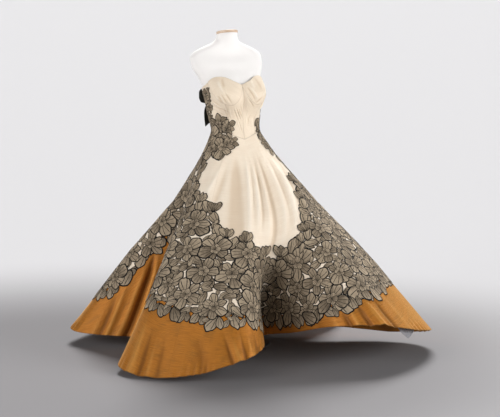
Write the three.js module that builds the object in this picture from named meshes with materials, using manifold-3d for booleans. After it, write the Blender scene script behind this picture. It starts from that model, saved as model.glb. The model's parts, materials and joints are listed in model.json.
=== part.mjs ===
// Strapless ball gown on a dress form: a draped bodice with cups and a pointed waist, a skirt whose
// hem spreads into four lobes, a lace overlay and a velvet bow at the back.
// Millimetres, +Z up. The gown faces -Y and the origin is on the floor, under the form's pole.
// Directions round the body are degrees from the front, growing towards the wearer's left (+X).
import * as THREE from "three";
import Module from "manifold-3d";

const wasm = await Module();
wasm.setup();

// Driving dimensions
const WAIST_HEIGHT = 1060;
const WAIST_POINT_DROP = 34;
const WAIST_POINT_SPREAD = 66;
const FAILLE = 2;
const SHANTUNG = 2.4;
const LACE = 1.4;
const VELVET = 3;
const NET = 1.2;
const SEAM_GAP = 0.3;
const LACE_GAP = 0.6;
const WAIST_GAP = { faille: 1, lace: 2.2 };
const BODICE_EASE = 6;

// Rings of the dress form and of the bodice over it: half width, depth before and behind the ring's
// centre, and how far the centre is set back, since the figure leans back above the waist.
const FIGURE = [
  { z: 770, side: 160, front: 112, back: 128, set: 0 },
  { z: 870, side: 172, front: 122, back: 138, set: 0 },
  { z: 970, side: 147, front: 114, back: 112, set: 0 },
  { z: 1060, side: 115, front: 92, back: 86, set: 2 },
  { z: 1150, side: 128, front: 100, back: 94, set: 20 },
  { z: 1240, side: 140, front: 120, back: 100, set: 40 },
  { z: 1320, side: 162, front: 114, back: 98, set: 72 },
  { z: 1356, side: 180, front: 104, back: 96, set: 92 },
  { z: 1390, side: 187, front: 92, back: 92, set: 104 },
  { z: 1424, side: 184, front: 70, back: 74, set: 114 },
  { z: 1450, side: 150, front: 58, back: 62, set: 114 },
  { z: 1472, side: 98, front: 54, back: 57, set: 110 },
  { z: 1488, side: 66, front: 53, back: 54, set: 105 },
  { z: 1506, side: 54, front: 51, back: 51, set: 99 },
  { z: 1526, side: 51, front: 50, back: 50, set: 93 },
];

// Top edge of the bodice, the same on both sides: a dip at the centre front, a peak over each cup.
const NECKLINE = [
  { phi: 0, z: 1288 },
  { phi: 14, z: 1304 },
  { phi: 34, z: 1326 },
  { phi: 54, z: 1322 },
  { phi: 78, z: 1284 },
  { phi: 112, z: 1258 },
  { phi: 180, z: 1250 },
];

// Lower seam of a cup, from the neckline's dip round under the bust and up to the side.
const CUP_SEAM = [
  { phi: 0, z: 1280 },
  { phi: 9, z: 1230 },
  { phi: 24, z: 1194 },
  { phi: 42, z: 1204 },
  { phi: 58, z: 1246 },
  { phi: 70, z: 1296 },
];
const CUP = { phi: 34, z: 1246, spread: 47, rise: 132, depth: 46, to: 68 };

// The hem all the way round: how far its lobes reach from the axis, how high it hangs over the floor,
// how late the skirt flares towards it, and how far the skirt bulges out above it.
const HEM = [
  { phi: -180, reach: 830, lift: 60, flare: 1.3, bulge: 20 },
  { phi: -135, reach: 806, lift: 74, flare: 1.36, bulge: 30 },
  { phi: -112, reach: 852, lift: 62, flare: 1.3, bulge: 34 },
  { phi: -95, reach: 868, lift: 50, flare: 1.25, bulge: 28 },
  { phi: -76, reach: 884, lift: 42, flare: 1.17, bulge: 4 },
  { phi: -64, reach: 895, lift: 33, flare: 1.11, bulge: 0 },
  { phi: -54, reach: 906, lift: 15, flare: 1.07, bulge: 0 },
  { phi: -44, reach: 914, lift: 22, flare: 1.06, bulge: 0 },
  { phi: -34, reach: 905, lift: 50, flare: 1.05, bulge: 0 },
  { phi: -24, reach: 894, lift: 96, flare: 1.04, bulge: 0 },
  { phi: -14, reach: 894, lift: 118, flare: 1.04, bulge: 0 },
  { phi: -6, reach: 894, lift: 96, flare: 1.04, bulge: 0 },
  { phi: 0, reach: 894, lift: 92, flare: 1.04, bulge: 0 },
  { phi: 8, reach: 902, lift: 127, flare: 1.04, bulge: 0 },
  { phi: 14, reach: 912, lift: 190, flare: 1.05, bulge: 0 },
  { phi: 20, reach: 922, lift: 212, flare: 1.06, bulge: 4 },
  { phi: 26, reach: 932, lift: 205, flare: 1.065, bulge: 8 },
  { phi: 34, reach: 946, lift: 170, flare: 1.07, bulge: 14 },
  { phi: 45, reach: 964, lift: 133, flare: 1.07, bulge: 22 },
  { phi: 57, reach: 967, lift: 96, flare: 1.08, bulge: 22 },
  { phi: 66, reach: 952, lift: 58, flare: 1.1, bulge: 22 },
  { phi: 73, reach: 942, lift: 44, flare: 1.13, bulge: 20 },
  { phi: 80, reach: 930, lift: 62, flare: 1.15, bulge: 18 },
  { phi: 95, reach: 905, lift: 75, flare: 1.2, bulge: 18 },
  { phi: 135, reach: 850, lift: 66, flare: 1.34, bulge: 24 },
  { phi: 180, reach: 830, lift: 60, flare: 1.3, bulge: 20 },
];
const BULGE_FROM = 0.35;

// The inlets between the lobes: each leaves this share of the reach at the hem, starts at this u, and
// is as narrow as its sharpness there.
const INLETS = [
  { phi: -90, share: 0.3, from: 0.13, sharpness: 5.5 },
  { phi: 0, share: 0.33, from: 0.33, sharpness: 10 },
  { phi: 90, share: 0.36, from: 0.25, sharpness: 7 },
  { phi: 180, share: 0.4, from: 0.25, sharpness: 7 },
];
const INLET = { run: 0.58, topSharpness: 10, roundness: 1.25 };

// Soft folds that run down from the waist: where, how wide, how deep, and where they fade.
const FOLDS = [
  { phi: -52, spread: 9, depth: 8, from: 0.02, to: 0.75 },
  { phi: -6, spread: 6, depth: 9, from: 0.04, to: 0.6 },
  { phi: 12, spread: 6, depth: 9, from: 0.03, to: 0.62 },
  { phi: 30, spread: 7, depth: 8, from: 0.05, to: 0.7 },
  { phi: 56, spread: 8, depth: 9, from: 0.1, to: 0.8 },
  { phi: 118, spread: 8, depth: 8, from: 0.05, to: 0.8 },
  { phi: 152, spread: 8, depth: 8, from: 0.05, to: 0.8 },
  { phi: -118, spread: 8, depth: 8, from: 0.05, to: 0.8 },
  { phi: -152, spread: 8, depth: 8, from: 0.05, to: 0.8 },
];
const FOLD_FADE = 0.2;

// Four skirt panels, each with an inlet down its middle. Their columns gather towards the inlet.
const PANELS = [
  { name: "front", inlet: 0, columns: 20 },
  { name: "side_left", inlet: 90, columns: 16 },
  { name: "back", inlet: 180, columns: 16 },
  { name: "side_right", inlet: 270, columns: 16 },
];
const PANEL_HALF = 45;
const GATHERING = 1.3;
const FAILLE_ROWS = 8;
const SHANTUNG_ROWS = 3;

// The lace over the skirt: the u of its upper and lower edge, between the tips of its petals.
const LACE_EDGE = [
  { phi: -180, top: -0.02, bottom: 0.84 },
  { phi: -135, top: -0.02, bottom: 0.85 },
  { phi: -118, top: -0.02, bottom: 0.82 },
  { phi: -113, top: -0.02, bottom: 0.81 },
  { phi: -110, top: -0.02, bottom: 0.755 },
  { phi: -108.5, top: -0.02, bottom: 0.675 },
  { phi: -107, top: -0.02, bottom: 0.6 },
  { phi: -104, top: -0.02, bottom: 0.535 },
  { phi: -100, top: -0.02, bottom: 0.505 },
  { phi: -90, top: -0.02, bottom: 0.49 },
  { phi: -80, top: 0.0, bottom: 0.6 },
  { phi: -75, top: 0.13, bottom: 0.67 },
  { phi: -70, top: 0.255, bottom: 0.705 },
  { phi: -63, top: 0.335, bottom: 0.725 },
  { phi: -55, top: 0.31, bottom: 0.745 },
  { phi: -46, top: 0.325, bottom: 0.76 },
  { phi: -40, top: 0.36, bottom: 0.772 },
  { phi: -35, top: 0.435, bottom: 0.795 },
  { phi: -24, top: 0.49, bottom: 0.835 },
  { phi: -17, top: 0.515, bottom: 0.87 },
  { phi: -12, top: 0.58, bottom: 0.915 },
  { phi: -4, top: 0.57, bottom: 0.93 },
  { phi: 5, top: 0.59, bottom: 0.94 },
  { phi: 9, top: 0.585, bottom: 0.942 },
  { phi: 13, top: 0.54, bottom: 0.935 },
  { phi: 17, top: 0.525, bottom: 0.915 },
  { phi: 22, top: 0.455, bottom: 0.87 },
  { phi: 28, top: 0.375, bottom: 0.84 },
  { phi: 37, top: 0.33, bottom: 0.795 },
  { phi: 45, top: 0.27, bottom: 0.765 },
  { phi: 54, top: 0.22, bottom: 0.75 },
  { phi: 66, top: 0.12, bottom: 0.71 },
  { phi: 78, top: 0.0, bottom: 0.62 },
  { phi: 90, top: -0.02, bottom: 0.5 },
  { phi: 103, top: -0.02, bottom: 0.6 },
  { phi: 114, top: -0.02, bottom: 0.79 },
  { phi: 135, top: -0.02, bottom: 0.85 },
  { phi: 180, top: -0.02, bottom: 0.84 },
];
const SEAM_UNDER_LACE = 0.035;

// Petals that break up the lace's edges: half lengths in turn, their shape and their spacing.
const PETAL_SIZES = [56, 42, 62, 48, 38];
const PETAL = { sides: 5, slim: 0.82, apart: 1.9, out: -0.35, lean: 24 };

// Sprays of petals at the hips, on the skirt and on the bodice.
const SKIRT_SPRAYS = [
  { phi: -70, u: 0.07, size: 58 },
  { phi: -52, u: 0.09, size: 54 },
  { phi: -56, u: 0.03, size: 48 },
  { phi: -34, u: 0.06, size: 44 },
  { phi: -40, u: 0.02, size: 40 },
  { phi: 68, u: 0.06, size: 52 },
  { phi: 54, u: 0.05, size: 44 },
  { phi: 42, u: 0.07, size: 34 },
];
const BODICE_SPRAYS = [
  { phi: -64, z: 1096, size: 42 },
  { phi: -48, z: 1092, size: 36 },
  { phi: -36, z: 1068, size: 30 },
  { phi: 64, z: 1088, size: 36 },
  { phi: 52, z: 1080, size: 30 },
];
const BODICE_LACE_FROM = 72;

// Gaps between the lace's flowers: a repeat of the flowers, and the gap's half length and width.
const FLOWER_PITCH = 268;
const GAP = { long: 12, wide: 6, turn: 67, rowStep: 0.115 };

const CUTTER_HALF = 14;
const BAND = { inner: -5, outer: 6, rows: 10 };
const EDGE_STEP = 0.5;

// The bodice's panels on one side: the directions of their edges, and how many strips each has.
const BODICE_PANELS = [
  { name: "front", from: 0, to: 38, columns: 6 },
  { name: "side", from: 38, to: 90, columns: 7 },
  { name: "back", from: 90, to: 180, columns: 7 },
];
const BODICE_ROWS = 7;
const CUP_ROWS = 5;

// The bow: its knot, and the path of a loop and of a tail outwards from the knot, with the middle of the
// ribbon, its width, and for the tail how far its width is turned from upright.
const BOW = { y: 164, z: 1204, knot: { y: -5, wide: 19, deep: 19, tall: 27 } };
const LOOP = [
  { s: 0, x: 20, y: -5, z: 3, wide: 38 },
  { s: 1, x: 58, y: -11, z: 10, wide: 60 },
  { s: 2, x: 101, y: -12, z: 16, wide: 66 },
  { s: 3, x: 118, y: 1, z: 22, wide: 18 },
  { s: 4, x: 101, y: 14, z: 16, wide: 66 },
  { s: 5, x: 58, y: 14, z: 10, wide: 60 },
  { s: 6, x: 20, y: 7, z: 3, wide: 38 },
];
const TAIL = [
  { s: 0, x: 20, y: -14, z: -8, wide: 26, turn: 4 },
  { s: 1, x: 47, y: -20, z: -24, wide: 66, turn: 46 },
  { s: 2, x: 64, y: -22, z: -62, wide: 76, turn: 80 },
  { s: 3, x: 63, y: -19, z: -108, wide: 64, turn: 90 },
];
const TAIL_CUT = 52;

// The corner of the net underskirt's flounce: its directions, the u of its edges, its share of the reach.
const FLOUNCE = { from: 34, point: 35, to: 52, top: 0.93, low: 1.054, share: 0.94 };
const FLOUNCE_RISE = { before: 0.03, after: 0.005 };

// The dress form: its torso's rings, its tilted neck and cap, and its stand.
const TORSO_TURNS = 24;
const TORSO_SWELL = 0.55;
const TORSO_SLIM = { by: 5, below: 1240, to: 1330 };
const TORSO_HEIGHTS = [
  770, 870, 970, 1060, 1150, 1200, 1250, 1300, 1340, 1372,
  1400, 1420, 1436, 1450, 1462, 1474, 1488, 1506, 1526,
];
const NECK_TILT = 11;
const NECK_TILT_FROM = 1464;
const CAP = [
  { up: SEAM_GAP, share: 0.97 },
  { up: 2.5, share: 1.03 },
  { up: 11, share: 1.03 },
  { up: 14, share: 0.95 },
];
const BASE = [
  { r: 166, z: 0 },
  { r: 170, z: 4 },
  { r: 168, z: 9 },
  { r: 46, z: 15 },
  { r: 30, z: 24 },
  { r: 26, z: 60 },
];
const ROUND_TURNS = 28;
const POLE_RADIUS = 16;

// Small helpers
const rad = THREE.MathUtils.degToRad;
const mix = THREE.MathUtils.lerp;
const smooth = (from, to, x) => THREE.MathUtils.smoothstep(x, from, to);
const range = (count) => Array.from({ length: count }, (_, i) => i);
const steps = (from, to, count) => range(count + 1).map((i) => mix(from, to, i / count));
const turned = (phi) => THREE.MathUtils.euclideanModulo(phi + 180, 360) - 180;

// A point at a direction, a distance from the axis and a height, with the axis set back.
function polar(phi, r, z, set = 0) {
  return new THREE.Vector3(r * Math.sin(rad(phi)), set - r * Math.cos(rad(phi)), z);
}

// A column of a table at x, on a smooth curve through its rows.
function tableValue(rows, key, column, x) {
  let k = 0;
  while (k < rows.length - 2 && x > rows[k + 1][key]) k += 1;
  const slope = (a, b) => (rows[b][column] - rows[a][column]) / (rows[b][key] - rows[a][key]);
  const before = Math.max(k - 1, 0);
  const after = Math.min(k + 2, rows.length - 1);
  const span = rows[k + 1][key] - rows[k][key];
  const t = THREE.MathUtils.clamp((x - rows[k][key]) / span, 0, 1);
  const [p0, p1] = [rows[k][column], rows[k + 1][column]];
  const [m0, m1] = [slope(before, k + 1) * span, slope(k, after) * span];
  const [t2, t3] = [t * t, t * t * t];
  return (2 * t3 - 3 * t2 + 1) * p0 + (t3 - 2 * t2 + t) * m0 + (3 * t2 - 2 * t3) * p1 + (t3 - t2) * m1;
}

// A column of a table of evenly spaced directions, eased from each row to the next, all the way round.
function around(rows, column, phi) {
  const turn = 360 / rows.length;
  const place = THREE.MathUtils.euclideanModulo(phi - rows[0].phi, 360) / turn;
  const k = Math.floor(place) % rows.length;
  return mix(rows[k][column], rows[(k + 1) % rows.length][column], smooth(0, 1, place % 1));
}

// The figure under the gown: the ring's radius and the swell of the bust.
function figureRadius(phi, z) {
  const across = Math.sin(rad(phi)) / tableValue(FIGURE, "z", "side", z);
  const deep = Math.cos(rad(phi));
  const along = deep / tableValue(FIGURE, "z", deep > 0 ? "front" : "back", z);
  return 1 / Math.hypot(across, along);
}
function bustSwell(phi, z) {
  const off = Math.hypot((Math.abs(turned(phi)) - CUP.phi) / CUP.spread, (z - CUP.z) / CUP.rise);
  return CUP.depth * Math.max(0, 1 - off * off) ** 2;
}
function figurePoint(phi, z, swellShare, out) {
  const r = figureRadius(phi, z) + swellShare * bustSwell(phi, z) + out;
  return polar(phi, r, z, tableValue(FIGURE, "z", "set", z));
}

// Edges of the bodice
const waistSeam = (phi) =>
  WAIST_HEIGHT - WAIST_POINT_DROP * Math.max(0, 1 - Math.abs(turned(phi)) / WAIST_POINT_SPREAD) ** 1.25;
const neckline = (phi) => tableValue(NECKLINE, "phi", "z", Math.abs(turned(phi)));
const cupSeam = (phi) => Math.min(tableValue(CUP_SEAM, "phi", "z", Math.abs(turned(phi))), neckline(phi));

// The bodice's outer face at a direction and a height.
const bodicePoint = (phi, z) => figurePoint(phi, z, 1, BODICE_EASE);

// The skirt's outer face: u runs from the waist seam, 0, to the hem, 1.
function foldDepth(phi, u) {
  return FOLDS.reduce((sum, fold) => {
    const off = turned(phi - fold.phi) / fold.spread;
    const starts = smooth(fold.from, fold.from + FOLD_FADE, u);
    const ends = smooth(fold.to - FOLD_FADE, fold.to, u);
    const fade = starts * (1 - ends);
    return sum + fold.depth * fade * Math.exp(-off * off);
  }, 0);
}
function inletShare(phi, u) {
  const from = around(INLETS, "from", phi);
  const sharpness = mix(INLET.topSharpness, around(INLETS, "sharpness", phi), smooth(from, 1, u));
  const away = 1 - Math.abs(Math.cos(2 * rad(phi))) ** sharpness;
  const depth = (1 - around(INLETS, "share", phi)) * smooth(from, from + INLET.run, u);
  return depth * (1 - away ** INLET.roundness);
}
function skirtPoint(phi, u) {
  const hem = (column) => tableValue(HEM, "phi", column, turned(phi));
  const top = waistSeam(phi);
  const start = figureRadius(phi, top) + BODICE_EASE;
  const flared = start + (hem("reach") - start) * Math.max(u, 0) ** hem("flare");
  const bulgeShare = THREE.MathUtils.clamp((u - BULGE_FROM) / (1 - BULGE_FROM), 0, 1);
  const spread = flared + hem("bulge") * Math.sin(Math.PI * bulgeShare);
  return polar(phi, spread * (1 - inletShare(phi, u)) + foldDepth(phi, u), mix(top, hem("lift"), u));
}

// Where a surface lies at (phi, v), with unit vectors along v and square to the surface.
const SIDE_STEP = 0.2;
function placeOn(surface, phi, v, step) {
  const point = surface(phi, v);
  const aside = surface(phi + SIDE_STEP, v).sub(surface(phi - SIDE_STEP, v)).normalize();
  const along = surface(phi, v + step).sub(surface(phi, v - step)).normalize();
  return { point, along, normal: aside.cross(along).normalize() };
}

// A closed wall over a grid of directions and levels. inner and outer are the distances of its two
// faces from the surface, along the surface's own normal. Its edges stop half a seam gap short, or
// firstGap at the first level.
const LEVEL_STEP = 0.002;
function wall(surface, phis, levels, rowAt, inner, outer, firstGap = SEAM_GAP / 2) {
  const [columns, rows] = [phis.length, levels.length];
  const face = phis.map((phi) => {
    const step = Math.abs(rowAt(phi, levels.at(-1)) - rowAt(phi, levels[0])) * LEVEL_STEP;
    return levels.map((level) => placeOn(surface, phi, rowAt(phi, level), step));
  });
  const inset = (edge, next, beside, gap) => {
    const inward = next.point.clone().sub(edge.point).normalize();
    const slant = beside.point.clone().sub(edge.point).normalize().cross(inward).length();
    return { point: edge.point.clone().addScaledVector(inward, gap / slant), normal: edge.normal };
  };
  for (let j = 0; j < rows; j += 1) {
    const beside = j ? j - 1 : 1;
    face[0][j] = inset(face[0][j], face[1][j], face[0][beside], SEAM_GAP / 2);
    const last = columns - 1;
    face[last][j] = inset(face[last][j], face[last - 1][j], face[last][beside], SEAM_GAP / 2);
  }
  for (let i = 0; i < columns; i += 1) {
    const beside = face[i ? i - 1 : 1];
    face[i][0] = inset(face[i][0], face[i][1], beside[0], firstGap);
    face[i][rows - 1] = inset(face[i][rows - 1], face[i][rows - 2], beside[rows - 1], SEAM_GAP / 2);
  }
  const [midColumn, midRow] = [Math.floor(columns / 2), Math.floor(rows / 2)];
  const facing = Math.sign(face[midColumn][midRow].normal.dot(polar(phis[midColumn], 1, 0)));
  const points = [outer, inner].flatMap((out) =>
    face.flat().map(({ point, normal }) => point.clone().addScaledVector(normal, facing * out)),
  );
  const back = columns * rows;
  const id = (i, j) => i * rows + j;
  const index = [];
  const quad = (a, b, c, d) => index.push(a, b, c, a, c, d);
  for (let i = 0; i < columns - 1; i += 1) {
    for (let j = 0; j < rows - 1; j += 1) {
      const corners = [id(i, j), id(i, j + 1), id(i + 1, j + 1), id(i + 1, j)];
      const rising = face[i][j].point.distanceTo(face[i + 1][j + 1].point);
      const falling = face[i][j + 1].point.distanceTo(face[i + 1][j].point);
      if (falling < rising) corners.push(corners.shift());
      quad(...corners);
      const [a, b, c, d] = corners.map((corner) => back + corner);
      index.push(a, c, b, a, d, c);
    }
  }
  // Both sides of a seam split their narrow edge faces along the same diagonal, so they keep their gap.
  const nearRim = [
    ...range(rows - 1).map((j) => [id(0, j), id(0, j + 1)]),
    ...range(columns - 1).map((i) => [id(i, rows - 1), id(i + 1, rows - 1)]),
  ];
  const farRim = [
    ...range(rows - 1).map((j) => [id(columns - 1, j + 1), id(columns - 1, j)]),
    ...range(columns - 1).map((i) => [id(i + 1, 0), id(i, 0)]),
  ];
  nearRim.forEach(([a, b]) => quad(b, a, back + a, back + b));
  farRim.forEach(([a, b]) => quad(a, back + a, back + b, b));
  return outward(new THREE.BufferGeometry().setFromPoints(points).setIndex(index));
}

// A closed solid through rings of points, each end closed by a flat fan.
function lofted(rings) {
  const turns = rings[0].length;
  const points = rings.flat();
  const middle = (ring) => ring.reduce((sum, p) => sum.add(p), new THREE.Vector3()).divideScalar(turns);
  points.push(middle(rings[0]), middle(rings.at(-1)));
  const [first, last] = [points.length - 2, points.length - 1];
  const index = [];
  const id = (k, i) => k * turns + (i % turns);
  for (let i = 0; i < turns; i += 1) {
    index.push(first, id(0, i + 1), id(0, i));
    index.push(last, id(rings.length - 1, i), id(rings.length - 1, i + 1));
    for (let k = 0; k < rings.length - 1; k += 1) {
      index.push(id(k, i), id(k, i + 1), id(k + 1, i + 1), id(k, i), id(k + 1, i + 1), id(k + 1, i));
    }
  }
  return outward(new THREE.BufferGeometry().setFromPoints(points).setIndex(index));
}
const circle = (r, z, turns) => steps(0, 360, turns).slice(0, -1).map((phi) => polar(phi, r, z));

// Turns a closed geometry's faces outward if they point in.
function outward(geometry) {
  const p = geometry.attributes.position;
  const index = geometry.index.array;
  const [a, b, c] = [new THREE.Vector3(), new THREE.Vector3(), new THREE.Vector3()];
  let volume = 0;
  for (let t = 0; t < index.length; t += 3) {
    a.fromBufferAttribute(p, index[t]);
    b.fromBufferAttribute(p, index[t + 1]);
    c.fromBufferAttribute(p, index[t + 2]);
    volume += a.dot(b.cross(c));
  }
  if (volume < 0) {
    for (let t = 0; t < index.length; t += 3) [index[t], index[t + 1]] = [index[t + 1], index[t]];
  }
  return geometry;
}

// To and from the solids that are cut and joined.
function solidOf(geometry) {
  const mesh = new wasm.Mesh({
    numProp: 3,
    vertProperties: Float32Array.from(geometry.attributes.position.array),
    triVerts: Uint32Array.from(geometry.index.array),
  });
  return new wasm.Manifold(mesh);
}
function geometryOf(solid) {
  const { vertProperties, triVerts, numProp } = solid.getMesh();
  const points = [];
  for (let i = 0; i < vertProperties.length; i += numProp) {
    points.push(new THREE.Vector3(vertProperties[i], vertProperties[i + 1], vertProperties[i + 2]));
  }
  return new THREE.BufferGeometry().setFromPoints(points).setIndex([...triVerts]);
}
const largest = (solid) => solid.decompose().sort((a, b) => b.volume() - a.volume())[0];

const gown = new THREE.Group();
const cloth = (color, roughness) =>
  new THREE.MeshStandardMaterial({ color, roughness, side: THREE.DoubleSide });
const FINISH = {
  faille: cloth("#ead7bf", 0.5),
  shantung: cloth("#a8692f", 0.45),
  lace: cloth("#79705c", 0.8),
  velvet: cloth("#14120f", 0.95),
  net: cloth("#8d8b90", 0.9),
  form: cloth("#f1ece8", 0.8),
  wood: cloth("#d8bd9c", 0.6),
  stand: new THREE.MeshStandardMaterial({ color: "#3c3c3e", roughness: 0.4, metalness: 0.8 }),
};
function add(name, geometry, material) {
  const mesh = new THREE.Mesh(geometry, material);
  mesh.name = name;
  gown.add(mesh);
}

// Skirt: panels of faille down to a seam under the lace, levels 0 to 1, and of shantung from there to
// the hem, levels 1 to 2.
const laceEdge = (phi, column) => tableValue(LACE_EDGE, "phi", column, turned(phi));
const shantungSeam = (phi) => laceEdge(phi, "bottom") - SEAM_UNDER_LACE;
function skirtRow(phi, level) {
  const seam = shantungSeam(phi);
  return level < 1 ? level * seam : mix(seam, 1, level - 1);
}
function panelColumns(panel) {
  const gathered = (t) => Math.sign(t) * PANEL_HALF * Math.abs(t) ** GATHERING;
  return steps(-1, 1, panel.columns).map((t) => panel.inlet + gathered(t));
}
const failleLevels = steps(0, 1, FAILLE_ROWS);
const shantungLevels = steps(1, 2, SHANTUNG_ROWS);
for (const panel of PANELS) {
  const phis = panelColumns(panel);
  const upper = wall(skirtPoint, phis, failleLevels, skirtRow, -FAILLE, 0, WAIST_GAP.faille);
  add(`skirt_${panel.name}`, upper, FINISH.faille);
  add(`hem_${panel.name}`, wall(skirtPoint, phis, shantungLevels, skirtRow, -SHANTUNG, 0), FINISH.shantung);
}

// Bodice: on each side a cup, a front, a side and a back.
const bodiceLevels = steps(0, 1, BODICE_ROWS);
const bodiceRow = (phi, level) => mix(waistSeam(phi), cupSeam(phi), level);
const cupRow = (phi, level) => mix(cupSeam(phi), neckline(phi), level);
const columnsOf = ({ from, to, columns }) => steps(from, to, columns);
const bodicePhis = [...new Set(BODICE_PANELS.flatMap(columnsOf))];
const SIDES = { left: 1, right: -1 };
for (const [side, sign] of Object.entries(SIDES)) {
  for (const panel of BODICE_PANELS) {
    const phis = columnsOf(panel).map((phi) => sign * phi);
    const panelWall = wall(bodicePoint, phis, bodiceLevels, bodiceRow, -FAILLE, 0);
    add(`bodice_${panel.name}_${side}`, panelWall, FINISH.faille);
  }
  const cupPhis = bodicePhis.filter((phi) => phi <= CUP.to).map((phi) => sign * phi);
  const cupWall = wall(bodicePoint, cupPhis, steps(0, 1, CUP_ROWS), cupRow, -FAILLE, 0);
  add(`bodice_cup_${side}`, cupWall, FINISH.faille);
}

// Lace: a wall over the panels' own points, kept where a band and its petals lie, with gaps cut out.
function leafCutter(place, long, wide, sides, lean, half) {
  const across = place.normal.clone().cross(place.along);
  const [s, c] = [Math.sin(rad(lean)), Math.cos(rad(lean))];
  const ring = steps(0, 360, sides).slice(0, -1).map((turn) => {
    const [x, y] = [wide * Math.sin(rad(turn)), long * Math.cos(rad(turn))];
    const moved = place.point.clone().addScaledVector(across, c * x - s * y);
    return moved.addScaledVector(place.along, s * x + c * y);
  });
  const moved = (out) => ring.map((p) => p.clone().addScaledVector(place.normal, out));
  return solidOf(lofted([moved(-half), moved(half)]));
}
const petalCutter = (place, size, lean) =>
  leafCutter(place, size, size * PETAL.slim, PETAL.sides, lean, CUTTER_HALF);

// Petals walked along one edge of the skirt's lace between two directions.
const onSkirt = (phi, u) => placeOn(skirtPoint, phi, u, LEVEL_STEP);
function edgePetals(column, outDirection, from, to) {
  const cutters = [];
  let walked = 0;
  let last = skirtPoint(from, laceEdge(from, column));
  for (let phi = from; phi <= to; phi += EDGE_STEP) {
    const place = onSkirt(phi, laceEdge(phi, column));
    const size = PETAL_SIZES[cutters.length % PETAL_SIZES.length];
    walked += place.point.distanceTo(last);
    last = place.point;
    if (walked > PETAL.apart * size && laceEdge(phi, column) > 0) {
      place.point.addScaledVector(place.along, outDirection * PETAL.out * size);
      cutters.push(petalCutter(place, size, cutters.length % 2 ? PETAL.lean : -PETAL.lean));
      walked = 0;
    }
  }
  return cutters;
}

// Gaps in rows along the skirt's lace, a flower apart, each row set half a flower aside.
function skirtGaps(from, to) {
  const cutters = [];
  for (let row = 0; row * GAP.rowStep < 1; row += 1) {
    const u = (row + 0.5) * GAP.rowStep;
    let walked = row % 2 ? FLOWER_PITCH / 2 : 0;
    let last = skirtPoint(from, u);
    for (let phi = from + 1; phi <= to - 1; phi += EDGE_STEP) {
      const place = onSkirt(phi, u);
      walked += place.point.distanceTo(last);
      last = place.point;
      const inside = u > laceEdge(phi, "top") + 0.03 && u < laceEdge(phi, "bottom") - 0.02;
      if (walked > FLOWER_PITCH && inside) {
        const lean = GAP.turn * cutters.length;
        cutters.push(leafCutter(place, GAP.long, GAP.wide, 4, lean, CUTTER_HALF / 2));
        walked = 0;
      }
    }
  }
  return cutters;
}

const allColumns = PANELS.flatMap((panel) => panelColumns(panel).slice(0, -1));
const laceLevels = [...failleLevels, ...shantungLevels.slice(1, -1)];
for (const [side, sign] of Object.entries(SIDES)) {
  const half = sign > 0 ? [0, 180] : [-180, 0];
  const phis = [...new Set([...allColumns.map((phi) => turned(phi)), half[0], half[1]])]
    .filter((phi) => phi >= half[0] && phi <= half[1])
    .sort((a, b) => a - b);
  const sheet = wall(skirtPoint, phis, laceLevels, skirtRow, LACE_GAP, LACE_GAP + LACE, WAIST_GAP.lace);
  const bandRow = (phi, level) => mix(laceEdge(phi, "top"), laceEdge(phi, "bottom"), level);
  const band = wall(skirtPoint, phis, steps(0, 1, BAND.rows), bandRow, BAND.inner, BAND.outer);
  const sprays = SKIRT_SPRAYS.filter((spray) => spray.phi * sign > 0);
  const kept = wasm.Manifold.union([
    solidOf(band),
    ...edgePetals("top", -1, half[0] + 4, half[1] - 4),
    ...edgePetals("bottom", 1, half[0] + 4, half[1] - 4),
    ...sprays.map(({ phi, u, size }) => petalCutter(onSkirt(phi, u), size, 0)),
  ]);
  const gaps = wasm.Manifold.union(skirtGaps(half[0], half[1]));
  const trimmed = largest(solidOf(sheet).intersect(kept).subtract(gaps));
  add(`lace_skirt_${side}`, geometryOf(trimmed), FINISH.lace);
}

// Lace over the bodice's sides and back, with the hip sprays' upper petals.
for (const [side, sign] of Object.entries(SIDES)) {
  const phis = bodicePhis.map((phi) => sign * phi);
  const sheet = wall(bodicePoint, phis, bodiceLevels, bodiceRow, LACE_GAP, LACE_GAP + LACE, WAIST_GAP.lace);
  const bandPhis = steps(sign * BODICE_LACE_FROM, sign * 181, 24);
  const bandRow = (phi, level) => mix(waistSeam(phi) - 20, neckline(phi) + 20, level);
  const band = wall(bodicePoint, bandPhis, steps(0, 1, BAND.rows), bandRow, BAND.inner, BAND.outer);
  const sprays = BODICE_SPRAYS.filter((spray) => spray.phi * sign > 0);
  const kept = wasm.Manifold.union([
    solidOf(band),
    ...sprays.map(({ phi, z, size }) => petalCutter(placeOn(bodicePoint, phi, z, 1), size, 0)),
  ]);
  add(`lace_bodice_${side}`, geometryOf(largest(solidOf(sheet).intersect(kept))), FINISH.lace);
}

// Velvet bow at the centre back: a knot, and on each side a loop that doubles back and a hanging tail.
for (const [side, sign] of Object.entries(SIDES)) {
  const loop = (s, v) => {
    const at = (column) => tableValue(LOOP, "s", column, s);
    return new THREE.Vector3(sign * at("x"), BOW.y + at("y"), BOW.z + at("z") + v * at("wide"));
  };
  const tail = (s, v) => {
    const at = (column) => tableValue(TAIL, "s", column, s);
    const aside = v * at("wide") * Math.sin(rad(at("turn")));
    const up = v * at("wide") * Math.cos(rad(at("turn"))) - TAIL_CUT * v * smooth(2, 3, s);
    return new THREE.Vector3(sign * (at("x") + aside), BOW.y + at("y"), BOW.z + at("z") + up);
  };
  const across = (s, v) => v;
  const ribbon = (path, sCount, sTo, vCount) =>
    wall(path, steps(0, sTo, sCount), steps(-0.5, 0.5, vCount), across, -VELVET / 2, VELVET / 2);
  add(`bow_loop_${side}`, ribbon(loop, 14, 6, 3), FINISH.velvet);
  add(`bow_tail_${side}`, ribbon(tail, 8, 3, 3), FINISH.velvet);
}
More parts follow.
